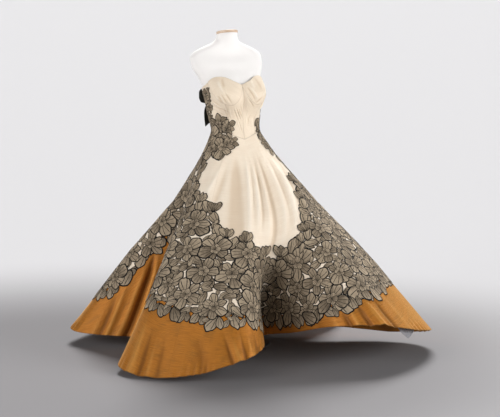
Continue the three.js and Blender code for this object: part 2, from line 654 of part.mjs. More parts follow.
const knotRings = steps(-75, 75, 6).map((lift) =>
  circle(Math.cos(rad(lift)), Math.sin(rad(lift)), 12).map((p) => {
    const { y, wide, deep, tall } = BOW.knot;
    return new THREE.Vector3(wide * p.x, BOW.y + y + deep * p.y, BOW.z + tall * p.z);
  }),
);
add("bow_knot", lofted(knotRings), FINISH.velvet);

// Net underskirt: only the corner of its flounce that hangs below the raised hem.
function flounceRow(phi, level) {
  const off = phi - FLOUNCE.point;
  const low = FLOUNCE.low - (off < 0 ? -off * FLOUNCE_RISE.before : off * FLOUNCE_RISE.after);
  return mix(FLOUNCE.top, low, level);
}
const flouncePhis = [FLOUNCE.from, ...steps(FLOUNCE.point, FLOUNCE.to, 5)];
const inFrom = new THREE.Vector3(FLOUNCE.share, FLOUNCE.share, 1);
const underPoint = (phi, u) => skirtPoint(phi, u).multiply(inFrom);
const flounce = wall(underPoint, flouncePhis, steps(0, 1, 2), flounceRow, -NET, 0);
add("underskirt_flounce", flounce, FINISH.net);

// Dress form: a smooth torso with a neck, a wooden cap, a pole and a round base.
const neckTop = TORSO_HEIGHTS.at(-1);
const torsoRings = TORSO_HEIGHTS.map((z) =>
  steps(0, 360, TORSO_TURNS).slice(0, -1).map((phi) => {
    const slim = TORSO_SLIM.by * (1 - smooth(TORSO_SLIM.below, TORSO_SLIM.to, z));
    const p = figurePoint(phi, z, TORSO_SWELL, -slim);
    const lean = Math.tan(rad(NECK_TILT)) * smooth(NECK_TILT_FROM, neckTop, z);
    p.z += lean * (tableValue(FIGURE, "z", "set", z) - p.y);
    return p;
  }),
);
add("form_torso", lofted(torsoRings), FINISH.form);

const neckUp = new THREE.Vector3(0, Math.sin(rad(NECK_TILT)), Math.cos(rad(NECK_TILT)));
const neckMiddle = new THREE.Vector3(0, tableValue(FIGURE, "z", "set", neckTop), neckTop);
const capRings = CAP.map(({ up, share }) =>
  torsoRings.at(-1).map((p) => neckMiddle.clone().lerp(p, share).addScaledVector(neckUp, up)),
);
add("form_cap", lofted(capRings), FINISH.wood);

const [poleFoot, poleTop] = [BASE.at(-1).z + SEAM_GAP, TORSO_HEIGHTS[0] - SEAM_GAP];
add("form_base", lofted(BASE.map(({ r, z }) => circle(r, z, ROUND_TURNS))), FINISH.stand);
const poleRings = [poleFoot, poleTop].map((z) => circle(POLE_RADIUS, z, ROUND_TURNS / 2));
add("form_pole", lofted(poleRings), FINISH.stand);

export default gown;
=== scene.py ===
import json
import math

import bpy
import numpy as np
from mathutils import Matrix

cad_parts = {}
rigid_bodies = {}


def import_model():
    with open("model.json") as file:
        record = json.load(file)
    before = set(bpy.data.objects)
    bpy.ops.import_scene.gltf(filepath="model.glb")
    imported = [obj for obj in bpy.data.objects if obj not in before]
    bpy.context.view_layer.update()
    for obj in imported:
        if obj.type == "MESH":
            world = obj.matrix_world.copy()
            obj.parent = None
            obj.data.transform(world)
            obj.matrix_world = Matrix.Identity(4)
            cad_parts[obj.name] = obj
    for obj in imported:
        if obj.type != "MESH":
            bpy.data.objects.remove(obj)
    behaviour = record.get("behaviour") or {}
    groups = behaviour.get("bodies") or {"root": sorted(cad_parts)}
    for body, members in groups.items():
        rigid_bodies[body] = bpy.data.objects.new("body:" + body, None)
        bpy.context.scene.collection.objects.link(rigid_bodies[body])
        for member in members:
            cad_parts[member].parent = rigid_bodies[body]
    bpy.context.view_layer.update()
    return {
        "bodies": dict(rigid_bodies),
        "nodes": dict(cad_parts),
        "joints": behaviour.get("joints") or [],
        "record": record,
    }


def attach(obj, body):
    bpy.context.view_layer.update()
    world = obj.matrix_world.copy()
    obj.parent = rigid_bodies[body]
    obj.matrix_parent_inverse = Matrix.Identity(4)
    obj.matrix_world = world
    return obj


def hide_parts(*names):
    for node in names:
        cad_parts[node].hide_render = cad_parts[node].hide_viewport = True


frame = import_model()


# The camera stands ten metres off, half a metre above the neck, to the wearer's right of the front.
# It is turned slightly aside, so the gown stands left of the middle of the picture.
CAMERA = {"turn": -25.0, "far": 10.0, "high": 2.056, "down": 7.86, "aside": 0.41, "lens": 148.3}
turn = math.radians(CAMERA["turn"])
camera = bpy.data.objects.new("camera", bpy.data.cameras.new("camera"))
camera.location = (CAMERA["far"] * math.sin(turn), -CAMERA["far"] * math.cos(turn), CAMERA["high"])
camera.rotation_euler = (
    math.radians(90 - CAMERA["down"]),
    0,
    turn - math.radians(CAMERA["aside"]),
)
camera.data.lens = CAMERA["lens"]
camera.data.sensor_width = 36
camera.data.sensor_fit = "HORIZONTAL"
camera.data.clip_end = 300
bpy.context.scene.collection.objects.link(camera)
bpy.context.scene.camera = camera
bpy.context.scene.view_settings.view_transform = "Standard"


# The studio: a floor of matt paper with shade painted round the gown, wide enough to fill the picture.
# A finish is a material whose values are written as sums and products of shades.
class Shade:
    """One value of a finish. Arithmetic on shades adds the Math nodes that work it out."""

    def __init__(self, finish, socket):
        self.finish = finish
        self.socket = socket

    def maths(self, operation, *given):
        return self.finish.node("ShaderNodeMath", {"operation": operation}, dict(enumerate(given)))

    def __rsub__(self, other):
        return self.maths("SUBTRACT", other, self)

    def rise(self, low, high):
        """0 below low, 1 above high, eased between them."""
        settings = {"interpolation_type": "SMOOTHSTEP"}
        return self.finish.node("ShaderNodeMapRange", settings, {0: self, 1: low, 2: high})


OPERATIONS = {
    "__add__": "ADD", "__radd__": "ADD", "__sub__": "SUBTRACT",
    "__mul__": "MULTIPLY", "__rmul__": "MULTIPLY", "least": "MINIMUM", "most": "MAXIMUM",
    "sine": "SINE", "size": "ABSOLUTE", "part": "FRACT",
}
for method, operation in OPERATIONS.items():
    setattr(Shade, method, lambda shade, *more, kind=operation: shade.maths(kind, shade, *more))


class Finish:
    """A material made of nodes, with one method that adds any node."""

    def __init__(self, name, **constants):
        self.material = bpy.data.materials.new(name)
        self.material.use_nodes = True
        self.tree = self.material.node_tree
        self.surface = self.tree.nodes["Principled BSDF"]
        for socket, value in constants.items():
            self.surface.inputs[socket.replace("_", " ")].default_value = value

    def node(self, kind, settings, sockets, output=0):
        made = self.tree.nodes.new(kind)
        for setting, value in settings.items():
            setattr(made, setting, value)
        for socket, value in sockets.items():
            self.feed(made.inputs[socket], value)
        return Shade(self, made.outputs[output])

    def feed(self, socket, value):
        if isinstance(value, Shade):
            self.tree.links.new(value.socket, socket)
        elif socket.type == "RGBA" and len(value) == 3:
            socket.default_value = (*value, 1)
        else:
            socket.default_value = value

    def woven(self, name, scale=1.0):
        """A vector that the mesh carries, times a scale."""
        carried = self.node("ShaderNodeAttribute", {"attribute_name": name}, {}, "Vector")
        return self.stretched(carried, scale)

    def place(self, scale=1.0):
        """Where a point of the piece is, in metres, times a scale."""
        here = self.node("ShaderNodeTexCoord", {}, {}, "Object")
        return self.stretched(here, scale)

    def stretched(self, vector, scale):
        scales = scale if hasattr(scale, "__len__") else (scale,) * 3
        return self.node("ShaderNodeVectorMath", {"operation": "MULTIPLY"}, {0: vector, 1: scales})

    def parts(self, vector):
        split = self.node("ShaderNodeSeparateXYZ", {}, {0: vector}).socket.node
        return [Shade(self, out) for out in split.outputs]

    def cloud(self, vector, scale=1.0, detail=3.0, roughness=0.5):
        sockets = {"Vector": vector, "Scale": scale, "Detail": detail, "Roughness": roughness}
        return self.node("ShaderNodeTexNoise", {"noise_dimensions": "3D"}, sockets)

    def weave(self, scale, **settings):
        """Noise that runs with the cloth."""
        return self.cloud(self.woven("cloth", scale), **settings)

    def blend(self, share, first, second):
        """From the first colour to the second as share goes from 0 to 1."""
        settings = {"data_type": "RGBA", "clamp_factor": True}
        return self.node("ShaderNodeMix", settings, {0: share, 6: first, 7: second}, 2)

    def bump(self, height, depth):
        """Relief whose full height is depth metres."""
        sockets = {"Strength": 1.0, "Distance": depth, "Height": height}
        self.wear(Normal=self.node("ShaderNodeBump", {}, sockets))

    def wear(self, **sockets):
        for socket, value in sockets.items():
            self.feed(self.surface.inputs[socket.replace("_", " ")], value)


FLOOR_REACH = 90.0
FLOOR_PAINTED_SHADE, FLOOR_FAR = (0.235, 0.226, 0.232), (0.55, 0.543, 0.553)
FLOOR_FADE = (1.2, 3.2)
FLOOR_SHADE_MIDDLE = (-0.75, -0.25, 0)
ring_turns = [math.radians(3 * k) for k in range(120)]
floor_mesh = bpy.data.meshes.new("floor")
floor_mesh.from_pydata(
    [(FLOOR_REACH * math.cos(a), FLOOR_REACH * math.sin(a), 0) for a in ring_turns],
    [],
    [list(range(len(ring_turns)))],
)
floor = bpy.data.objects.new("floor", floor_mesh)
bpy.context.scene.collection.objects.link(floor)
paper = Finish("floor_paper", Roughness=0.9, Specular_IOR_Level=0.2)
off_axis = paper.node(
    "ShaderNodeVectorMath", {"operation": "DISTANCE"}, {0: paper.place(), 1: FLOOR_SHADE_MIDDLE}, "Value"
)
# Painted shade: the floor is darker round the gown and fades out to the pale paper further off.
paper.wear(Base_Color=paper.blend(off_axis.rise(*FLOOR_FADE), FLOOR_PAINTED_SHADE, FLOOR_FAR))
floor_mesh.materials.append(paper.material)


# Soft light: a broad key from the camera's right, one from its left, a faint one from the front and
# one from high behind, which throws the gown's shadow forward, all under a faint sky.
LIGHTS = {
    "key": {"turn": 44.0, "high": 10.0, "broad": 50.0, "strength": 3.4},
    "fill": {"turn": -80.0, "high": 7.0, "broad": 60.0, "strength": 3.1},
    "front": {"turn": -15.0, "high": 10.0, "broad": 70.0, "strength": 0.3},
    "back": {"turn": 152.0, "high": 40.0, "broad": 22.0, "strength": 4.3},
}
for name, light in LIGHTS.items():
    lamp = bpy.data.objects.new(name, bpy.data.lights.new(name, "SUN"))
    lamp.data.energy = light["strength"]
    lamp.data.angle = math.radians(light["broad"])
    lamp.rotation_euler = (math.radians(90 - light["high"]), 0, math.radians(light["turn"]))
    bpy.context.scene.collection.objects.link(lamp)
sky = bpy.data.worlds.new("studio")
sky.use_nodes = True
sky.node_tree.nodes["Background"].inputs["Color"].default_value = (0.93, 0.93, 0.96, 1)
sky.node_tree.nodes["Background"].inputs["Strength"].default_value = 0.05
bpy.context.scene.world = sky


# The dress form's torso: a padded shell under a close cover of off-white knit, carried by its pole.
# Its rings give half width, depth before and behind the centre, and how far the centre is set back.
def table(columns, *rows):
    return dict(zip(columns.split(), np.array(rows, float).T))


FIGURE = table(
    "z side front back set",
    (770, 160, 112, 128, 0),
    (870, 172, 122, 138, 0),
    (970, 147, 114, 112, 0),
    (1060, 115, 92, 86, 2),
    (1150, 128, 100, 94, 20),
    (1240, 140, 120, 100, 40),
    (1320, 162, 114, 98, 72),
    (1356, 180, 104, 96, 92),
    (1390, 187, 92, 92, 104),
    (1424, 184, 70, 74, 114),
    (1450, 150, 58, 62, 114),
    (1472, 98, 54, 57, 110),
    (1488, 66, 53, 54, 105),
    (1506, 54, 51, 51, 99),
    (1526, 51, 50, 50, 93),
)
CUP = {"phi": 34, "z": 1246, "spread": 47, "rise": 132, "depth": 46, "to": 67.7}
NECK = {"tilt": math.radians(11), "tilt_from": 1464, "top": 1526}
TORSO = {"swell": 0.55, "slim": 5, "slim_below": 1240, "slim_to": 1330, "foot": 770}
BODY_RINGS, SHOULDER_RINGS, RING_STEP = 57, 72, 4


def curve(rows, column, x):
    """A column of a table at x, on a smooth curve through its rows."""
    keys = rows[next(iter(rows))]
    values = rows[column]
    k = np.clip(np.searchsorted(keys, x) - 1, 0, len(keys) - 2)
    span = keys[k + 1] - keys[k]
    t = np.clip((x - keys[k]) / span, 0, 1)

    def slope(a, b):
        return (values[b] - values[a]) / (keys[b] - keys[a]) * span

    start = slope(np.maximum(k - 1, 0), k + 1)
    end = slope(k, np.minimum(k + 2, len(keys) - 1))
    eased = 3 * t**2 - 2 * t**3
    bent = (t**3 - 2 * t**2 + t) * start + (t**3 - t**2) * end
    return (1 - eased) * values[k] + eased * values[k + 1] + bent


def ease(low, high, x):
    t = np.clip((x - low) / (high - low), 0, 1)
    return t * t * (3 - 2 * t)


def turned(phi):
    return (np.asarray(phi, float) + 180) % 360 - 180


def polar(phi, r, z, set_back=0.0):
    a = np.radians(phi)
    return np.stack(np.broadcast_arrays(r * np.sin(a), set_back - r * np.cos(a), z), -1)


def figure_radius(phi, z):
    deep = np.cos(np.radians(phi))
    depth = np.where(deep > 0, curve(FIGURE, "front", z), curve(FIGURE, "back", z))
    return 1 / np.hypot(np.sin(np.radians(phi)) / curve(FIGURE, "side", z), deep / depth)


def figure_point(phi, z, swell, out):
    off = np.hypot((np.abs(turned(phi)) - CUP["phi"]) / CUP["spread"], (z - CUP["z"]) / CUP["rise"])
    bust = CUP["depth"] * np.maximum(0, 1 - off**2) ** 2
    r = figure_radius(phi, z) + swell * bust + out
    return polar(phi, r, z, curve(FIGURE, "set", z))


def torso_ring(phi, z):
    slim = TORSO["slim"] * (1 - ease(TORSO["slim_below"], TORSO["slim_to"], z))
    p = figure_point(phi, z, TORSO["swell"], -slim)
    lean = math.tan(NECK["tilt"]) * ease(NECK["tilt_from"], NECK["top"], z)
    p[..., 2] += lean * (curve(FIGURE, "set", z) - p[..., 1])
    return p


def add_piece(name, node, slot, finish, points, faces, carried=None, sharp=40):
    """A mesh object from points in millimetres, which stands for a solid of the gown or its form.
    carried holds the vectors that its points carry."""
    mesh = bpy.data.meshes.new(name)
    mesh.from_pydata((np.asarray(points) / 1000).tolist(), [], faces)
    for key, vectors in (carried or {}).items():
        layer = mesh.attributes.new(key, "FLOAT_VECTOR", "POINT")
        layer.data.foreach_set("vector", np.asarray(vectors, np.float32).ravel())
    mesh.shade_smooth()
    mesh.set_sharp_from_angle(angle=math.radians(sharp))
    mesh.materials.append(finish.material)
    piece = bpy.data.objects.new(name, mesh)
    bpy.context.scene.collection.objects.link(piece)
    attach(piece, "root")
    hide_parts(node)
    return piece


def full_turn(count):
    """Evenly spaced directions all the way round, as one row."""
    return np.linspace(0, 360, count + 1)[None, :-1]


def closed_rings(rings):
    """Points and faces of a solid through rings of points, closed at both ends."""
    rings = np.asarray(rings, float)
    count, turns = rings.shape[:2]
    ids = np.arange(count * turns).reshape(count, turns)
    beside = np.roll(ids, -1, axis=1)
    sides = np.stack([ids[:-1], beside[:-1], beside[1:], ids[1:]], -1).reshape(-1, 4)
    faces = sides.tolist() + [ids[0, ::-1].tolist(), ids[-1].tolist()]
    return rings.reshape(-1, 3), faces


COVER_DEEP, COVER_PALE = (0.885, 0.855, 0.83), (0.92, 0.895, 0.87)
cover = Finish("form_cover", Roughness=0.8, Sheen_Weight=0.15, Sheen_Roughness=0.5)
jersey = cover.cloud(cover.place(900), detail=2)
shade_patches = cover.cloud(cover.place(9), detail=2)
cover.wear(Base_Color=cover.blend(shade_patches, COVER_DEEP, COVER_PALE))
cover.bump(jersey, 0.0004)
heights = np.concatenate(
    [
        np.linspace(TORSO["foot"], TORSO["slim_to"], BODY_RINGS),
        np.linspace(TORSO["slim_to"] + RING_STEP, NECK["top"] - 1, SHOULDER_RINGS),
        [NECK["top"]],
    ]
)
torso_rings = torso_ring(full_turn(96), heights[:, None])
add_piece("dress_form_torso", "form_torso", "form_cover", cover, *closed_rings(torso_rings))


# The cap that closes the neck: a turned disc of pale lacquered wood with softened edges.
# It lies on the neck's slanted top, and is a little wider than it.
CAP = table(
    "up share",
    (0.3, 0.965), (0.9, 0.995), (2.4, 1.028), (5, 1.034),
    (9, 1.034), (11.6, 1.02), (13.4, 0.985), (14, 0.94),
)
WOOD_PALE, WOOD_GRAIN = (0.70, 0.53, 0.39), (0.60, 0.42, 0.29)
wood = Finish("cap_wood", Roughness=0.45, Coat_Weight=0.25, Coat_Roughness=0.25)
grain = wood.cloud(wood.place((14, 90, 60)), detail=4)
wood.wear(Base_Color=wood.blend(grain.rise(0.35, 0.7), WOOD_PALE, WOOD_GRAIN))
wood.bump(grain, 0.0003)
neck_up = np.array((0, math.sin(NECK["tilt"]), math.cos(NECK["tilt"])))
neck_middle = np.array((0, curve(FIGURE, "set", NECK["top"]), NECK["top"]))
cap_rings = [
    neck_middle + share * (torso_rings[-1] - neck_middle) + up * neck_up
    for up, share in zip(CAP["up"], CAP["share"])
]
add_piece("dress_form_cap", "form_cap", "cap_wood", wood, *closed_rings(cap_rings), sharp=60)


# The stand under the form: a spun steel foot and a steel tube, both painted dark grey.
# The tube stands on the foot's collar and carries the torso.
BASE = table(
    "r z",
    (165, 0), (168.5, 1.2), (170, 4), (169.4, 6.8), (167, 8.8), (150, 9.8), (110, 11.6),
    (70, 13.4), (48, 14.8), (41, 16.4), (34.5, 19.6), (30.6, 24), (28.4, 32), (27, 46), (26, 58), (25, 60),
)
POLE = {"r": 16, "from": 60.3, "to": 769.7, "edge": 1.2}
PAINT_DARK, PAINT_WORN = (0.045, 0.045, 0.048), (0.075, 0.073, 0.072)
paint = Finish("stand_paint", Metallic=0.35, Specular_IOR_Level=0.4)
specks = paint.cloud(paint.place(420), detail=2)
worn = paint.cloud(paint.place(16), detail=4)
paint.wear(
    Base_Color=paint.blend(worn.rise(0.45, 0.75), PAINT_DARK, PAINT_WORN),
    Roughness=worn * 0.2 + 0.35,
)
paint.bump(specks, 0.0003)
TUBE = table(
    "r z",
    (POLE["r"] - POLE["edge"], POLE["from"]),
    (POLE["r"], POLE["from"] + POLE["edge"]),
    (POLE["r"], POLE["to"] - POLE["edge"]),
    (POLE["r"] - POLE["edge"], POLE["to"]),
)
for name, outline in {"base": BASE, "pole": TUBE}.items():
    rings = polar(full_turn(72), outline["r"][:, None], outline["z"][:, None])
    add_piece(f"dress_form_{name}", f"form_{name}", "stand_metal", paint, *closed_rings(rings))


# The bodice: on each side a cup, a front, a side and a back of ivory silk faille, cut to the figure
# and sewn together. The faille is draped, so it keeps soft slanting folds over and under the cups.
NECKLINE = table(
    "phi z", (0, 1288), (14, 1304), (34, 1326), (54, 1322), (78, 1284), (112, 1258), (180, 1250)
)
CUP_SEAM = table("phi z", (0, 1280), (9, 1230), (24, 1194), (42, 1204), (58, 1246), (70, 1296))
WAIST = {"z": 1060, "drop": 34, "spread": 66, "bend": 1.25}
EASE_OVER_FORM = 6.0
FAILLE_THICK = 2.0
SEAM, SEAM_SHARE = 0.3, 0.001
BODICE_FOLDS = table(
    "phi z to_phi to_z wide depth",
    (-41, 1298, -25, 1190, 3.4, -4.4),
    (-46, 1312, -31, 1238, 6.5, 4.8),
    (-38, 1322, -36, 1266, 6, -3.2),
    (-42, 1250, -34, 1198, 2.6, -3.6),
    (-44.5, 1248, -37.5, 1198, 2.4, 3),
    (-47.5, 1242, -41.5, 1198, 2.6, -3.4),
    (-52, 1238, -45, 1194, 3.2, 2.8),
    (-66, 1216, -47, 1184, 3.4, -3.2),
    (-68, 1204, -43, 1174, 3.6, 3.4),
    (-66, 1191, -39, 1164, 3, -3.4),
    (-72, 1180, -48, 1150, 3.4, 3),
    (-68, 1170, -45, 1140, 3, -2.8),
    (-42, 1180, -39.5, 1122, 2.6, -2.6),
    (-39.5, 1180, -37.5, 1124, 2.6, 2.4),
    (-37, 1180, -35, 1126, 2.4, -2.4),
    (-33, 1184, -31, 1120, 2.8, 2.2),
    (-14, 1180, 0, 1118, 2.6, -2.8),
    (-16.5, 1182, -3, 1116, 2.4, 2.6),
    (-19.5, 1184, -6, 1112, 2.6, -2.8),
    (-22, 1180, -10, 1112, 2.4, 2.4),
    (-24.5, 1176, -14.5, 1108, 2.6, -2.6),
    (-10, 1200, -1, 1146, 2.4, -2.4),
    (-19, 1130, -8, 1062, 3.6, 2.4),
    (-13, 1114, -3, 1046, 3.6, -2.2),
    (8, 1280, 21, 1204, 3, -4.4),
    (11, 1286, 25, 1210, 4, 3.6),
    (35, 1236, 22, 1198, 5, -5.4),
    (38, 1250, 26, 1208, 5, 3.4),
    (7.5, 1222, 24, 1172, 3, -2.8),
    (20, 1320, 18, 1260, 7, 2.6),
    (30, 1324, 33, 1254, 8, -2.6),
    (44, 1302, 40, 1224, 7, 2.8),
    (58, 1240, 34, 1166, 5, -3.4),
    (64, 1214, 38, 1138, 5, 3.2),
    (54, 1170, 30, 1106, 4, -2.8),
    (14, 1166, 6, 1088, 3, 2.2),
    (22, 1150, 12, 1080, 3, -2.2),
    (106, 1226, 138, 1170, 6, 2.4),
    (112, 1204, 144, 1124, 7, -2.6),
    (-106, 1222, -140, 1166, 6, 2.4),
    (-112, 1198, -146, 1118, 7, -2.6),
)
DEGREE_AT_BODICE = 2.35
FOLD_FULL = 3.4
FOLD_RUN = {"before": -8, "full": 0.3, "fades": 0.55, "ends": 1.1}


def waist_seam(phi):
    share = np.maximum(0, 1 - np.abs(turned(phi)) / WAIST["spread"])
    return WAIST["z"] - WAIST["drop"] * share ** WAIST["bend"]


def neckline(phi):
    return curve(NECKLINE, "z", np.abs(turned(phi)))


def cup_seam(phi):
    return np.minimum(curve(CUP_SEAM, "z", np.abs(turned(phi))), neckline(phi))


def bodice_relief(phi, z):
    """How far the drape's folds stand out from the bodice's plain form, in millimetres."""
    relief = 0.0
    for phi_0, z_0, phi_1, z_1, wide, depth in zip(*BODICE_FOLDS.values()):
        x, y = turned(phi - phi_0) * DEGREE_AT_BODICE, z - z_0
        run = np.array(((phi_1 - phi_0) * DEGREE_AT_BODICE, z_1 - z_0))
        long = np.hypot(*run)
        along = (x * run[0] + y * run[1]) / long
        aside = (x * run[1] - y * run[0]) / long
        begun = ease(FOLD_RUN["before"], FOLD_RUN["full"] * long, along)
        fade = begun * (1 - ease(FOLD_RUN["fades"] * long, FOLD_RUN["ends"] * long, along))
        relief = relief + depth * fade * np.exp(-((aside / wide) ** 2))
    return relief


def bodice_point(phi, z):
    return figure_point(phi, z, 1, EASE_OVER_FORM + bodice_relief(phi, z))


def unit(vectors):
    return vectors / np.maximum(np.linalg.norm(vectors, axis=-1, keepdims=True), 1e-9)


def normals_of(grid, facing):
    """Unit vectors square to a grid of points, on the side that facing points to."""
    normal = unit(np.cross(np.gradient(grid, axis=0), np.gradient(grid, axis=1)))
    middle = (grid.shape[0] // 2, grid.shape[1] // 2)
    return normal * np.sign(np.dot(normal[middle], facing))


def walked(grid, axis):
    """Distance along a grid's lines from their first point."""
    step = np.linalg.norm(np.diff(grid, axis=axis), axis=-1)
    start = np.zeros_like(np.take(step, [0], axis=axis))
    return np.cumsum(np.concatenate([start, step], axis=axis), axis=axis)


def cloth_wall(grid, inner, outer, facing):
    """Points, faces and carried vectors of a closed wall of cloth over a grid, and its flat cut."""
    columns, rows = grid.shape[:2]
    normal = normals_of(grid, facing)
    across, down = walked(grid, 0), walked(grid, 1)
    points = np.concatenate([(grid + normal * out).reshape(-1, 3) for out in (outer, inner)])
    ids = np.arange(columns * rows).reshape(columns, rows)
    quads = np.stack([ids[:-1, :-1], ids[1:, :-1], ids[1:, 1:], ids[:-1, 1:]], -1).reshape(-1, 4)
    turn_out = np.dot(np.cross(grid[1, 0] - grid[0, 0], grid[0, 1] - grid[0, 0]), normal[0, 0]) < 0
    loop = np.concatenate([ids[:, 0], ids[-1, 1:], ids[-2::-1, -1], ids[0, -2:0:-1]])
    after = np.roll(loop, -1)
    back = columns * rows
    rim = np.stack([after, loop, loop + back, after + back], -1)
    faces = np.concatenate([quads, quads[:, ::-1] + back, rim])
    faces = faces[:, ::-1] if turn_out else faces
    edges = np.stack(
        [np.minimum(across, across[-1:] - across), down, down[:, -1:] - down], -1
    ).reshape(-1, 3)
    run = np.stack([across, down, np.zeros_like(down)], -1).reshape(-1, 3)
    carried = {"cloth": np.tile(run, (2, 1)), "edges": np.tile(edges, (2, 1))}
    sides = np.diff(grid, axis=0)[:, :-1], np.diff(grid, axis=1)[:-1]
    cells = np.linalg.norm(np.cross(*sides), axis=-1)
    widths = (cells / np.linalg.norm(sides[1], axis=-1)).sum(0)
    flat = (float(widths.max()) / 1000, float(down[:, -1].max()) / 1000)
    return points, faces.tolist(), carried, flat, float(cells.sum()) / 1e6


def add_cloth(name, grid, inner, outer, facing, finish, slot, node, relief=0.0):
    """A cut piece of cloth over a grid of points. relief is 1 on the crest of its folds and -1 in
    their hollows."""
    points, faces, carried, flat, area = cloth_wall(grid, inner, outer, facing)
    folds = np.tile(np.broadcast_to(relief, grid.shape[:2]).ravel(), 2)
    # The relief is carried so that the finishes can paint shade into the folds' hollows and light onto
    # their crests.
    carried["relief"] = np.stack([folds, 0 * folds, 0 * folds], -1)
    piece = add_piece(name, node, slot, finish, points, faces, carried, sharp=55)


def faille_finish(name, light, deep, seam_depth):
    """Ribbed silk with a soft sheen: fine ribs run across the cloth, with a few slubs."""
    silk = Finish(name, Specular_IOR_Level=0.35, Sheen_Weight=0.25, Sheen_Roughness=0.35)
    slubs = silk.weave((0.012, 0.22, 1), detail=3)
    patches = silk.weave(0.011, detail=2)
    _, down, _ = silk.parts(silk.woven("cloth"))
    side, top, bottom = silk.parts(silk.woven("edges"))
    folds, _, _ = silk.parts(silk.woven("relief"))
    seam = (1 - side.least(top).least(bottom).rise(0.4, 2.2)) * seam_depth
    tone = (slubs * 0.6 + patches * 0.5).rise(0.3, 0.8)
    # Painted shade darkens the hollows of the folds, and a painted highlight lightens their crests.
    fold_shaded = silk.blend((0 - folds).rise(0.05, 1.0) * 0.5, silk.blend(tone, light, deep), IVORY_PAINTED_HOLLOW_SHADE)
    fold_shaded = silk.blend(folds.rise(0.1, 1.0) * 0.5, fold_shaded, IVORY_PAINTED_CREST_LIGHT)
    silk.wear(
        Base_Color=silk.blend(seam * 0.4, fold_shaded, SEAM_SHADE),
        Roughness=slubs * 0.2 + 0.42,
    )
    ribs = (down * 5.2).sine() * 0.12
    silk.bump(ribs + slubs * 0.8 - seam, 0.0007)
    return silk


IVORY_LIGHT, IVORY_DEEP = (0.95, 0.83, 0.675), (0.88, 0.74, 0.58)
# Painted shade for the hollows of the faille's folds, and painted highlight for their crests.
IVORY_PAINTED_HOLLOW_SHADE, IVORY_PAINTED_CREST_LIGHT = (0.62, 0.45, 0.29), (0.98, 0.89, 0.76)
BODICE_LIGHT, BODICE_DEEP = (0.89, 0.765, 0.605), (0.81, 0.67, 0.51)
SEAM_SHADE = (0.45, 0.33, 0.22)
faille = faille_finish("bodice_faille", BODICE_LIGHT, BODICE_DEEP, 1.0)
SIDES = {"left": 1, "right": -1}
BODICE_PIECES = {
    "front": (0, 38, waist_seam, cup_seam, 56, 80),
    "side": (38, 90, waist_seam, cup_seam, 56, 80),
    "back": (90, 180, waist_seam, cup_seam, 56, 80),
    "cup": (0, CUP["to"], cup_seam, neckline, 66, 48),
}


def inside(low, high, count, gap):
    """Steps from low to high that stop a small gap short of both."""
    return np.linspace(low + gap, high - gap, count)


for side, sign in SIDES.items():
    for cut, (first, last, low, high, columns, rows) in BODICE_PIECES.items():
        phi = sign * inside(first, last, columns, SEAM / 2 / DEGREE_AT_BODICE)[:, None]
        z = low(phi) + (high(phi) - low(phi)) * inside(0, 1, rows, SEAM_SHARE)[None, :]
        add_cloth(
            f"bodice_faille_{cut}_{side}", bodice_point(phi, z)[:, ::-1], -FAILLE_THICK, 0,
            polar(sign * (first + last) / 2, 1, 0),
            faille, "faille", f"bodice_{cut}_{side}",
            bodice_relief(phi, z)[:, ::-1] / FOLD_FULL,
        )


# The skirt: four panels of the same faille, sewn to the bodice's pointed waist seam. Each has an inlet
# down its middle, so the hem spreads into four lobes. Soft folds run down from the waist.
HEM = table(
    "phi reach lift flare bulge",
    (-180, 830, 60, 1.3, 20),
    (-135, 806, 74, 1.36, 30),
    (-112, 852, 62, 1.3, 34),
    (-95, 868, 50, 1.25, 28),
    (-76, 884, 42, 1.17, 4),
    (-64, 895, 33, 1.11, 0),
    (-54, 906, 15, 1.07, 0),
    (-44, 914, 22, 1.06, 0),
    (-34, 905, 50, 1.05, 0),
    (-24, 894, 96, 1.04, 0),
    (-14, 894, 118, 1.04, 0),
    (-6, 894, 96, 1.04, 0),
    (0, 894, 92, 1.04, 0),
    (8, 902, 127, 1.04, 0),
    (14, 912, 190, 1.05, 0),
    (20, 922, 212, 1.06, 4),
    (26, 932, 205, 1.065, 8),
    (34, 946, 170, 1.07, 14),
    (45, 964, 133, 1.07, 22),
    (57, 967, 96, 1.08, 22),
    (66, 952, 58, 1.1, 22),
    (73, 942, 44, 1.13, 20),
    (80, 930, 62, 1.15, 18),
    (95, 905, 75, 1.2, 18),
    (135, 850, 66, 1.34, 24),
    (180, 830, 60, 1.3, 20),
)
BULGE_FROM = 0.35
INLETS = table(
    "phi share from sharp",
    (-90, 0.3, 0.13, 5.5),
    (0, 0.33, 0.33, 10),
    (90, 0.36, 0.25, 7),
    (180, 0.4, 0.25, 7),
)
INLET = {"run": 0.58, "top_sharp": 10, "round": 1.25}
FOLDS = table(
    "phi spread depth from to",
    (-52, 9, 8, 0.02, 0.75),
    (-6, 6, 9, 0.04, 0.6),
    (12, 6, 9, 0.03, 0.62),
    (30, 7, 8, 0.05, 0.7),
    (56, 8, 9, 0.1, 0.8),
    (118, 8, 8, 0.05, 0.8),
    (152, 8, 8, 0.05, 0.8),
    (-118, 8, 8, 0.05, 0.8),
    (-152, 8, 8, 0.05, 0.8),
)
FOLD_FADE = 0.2
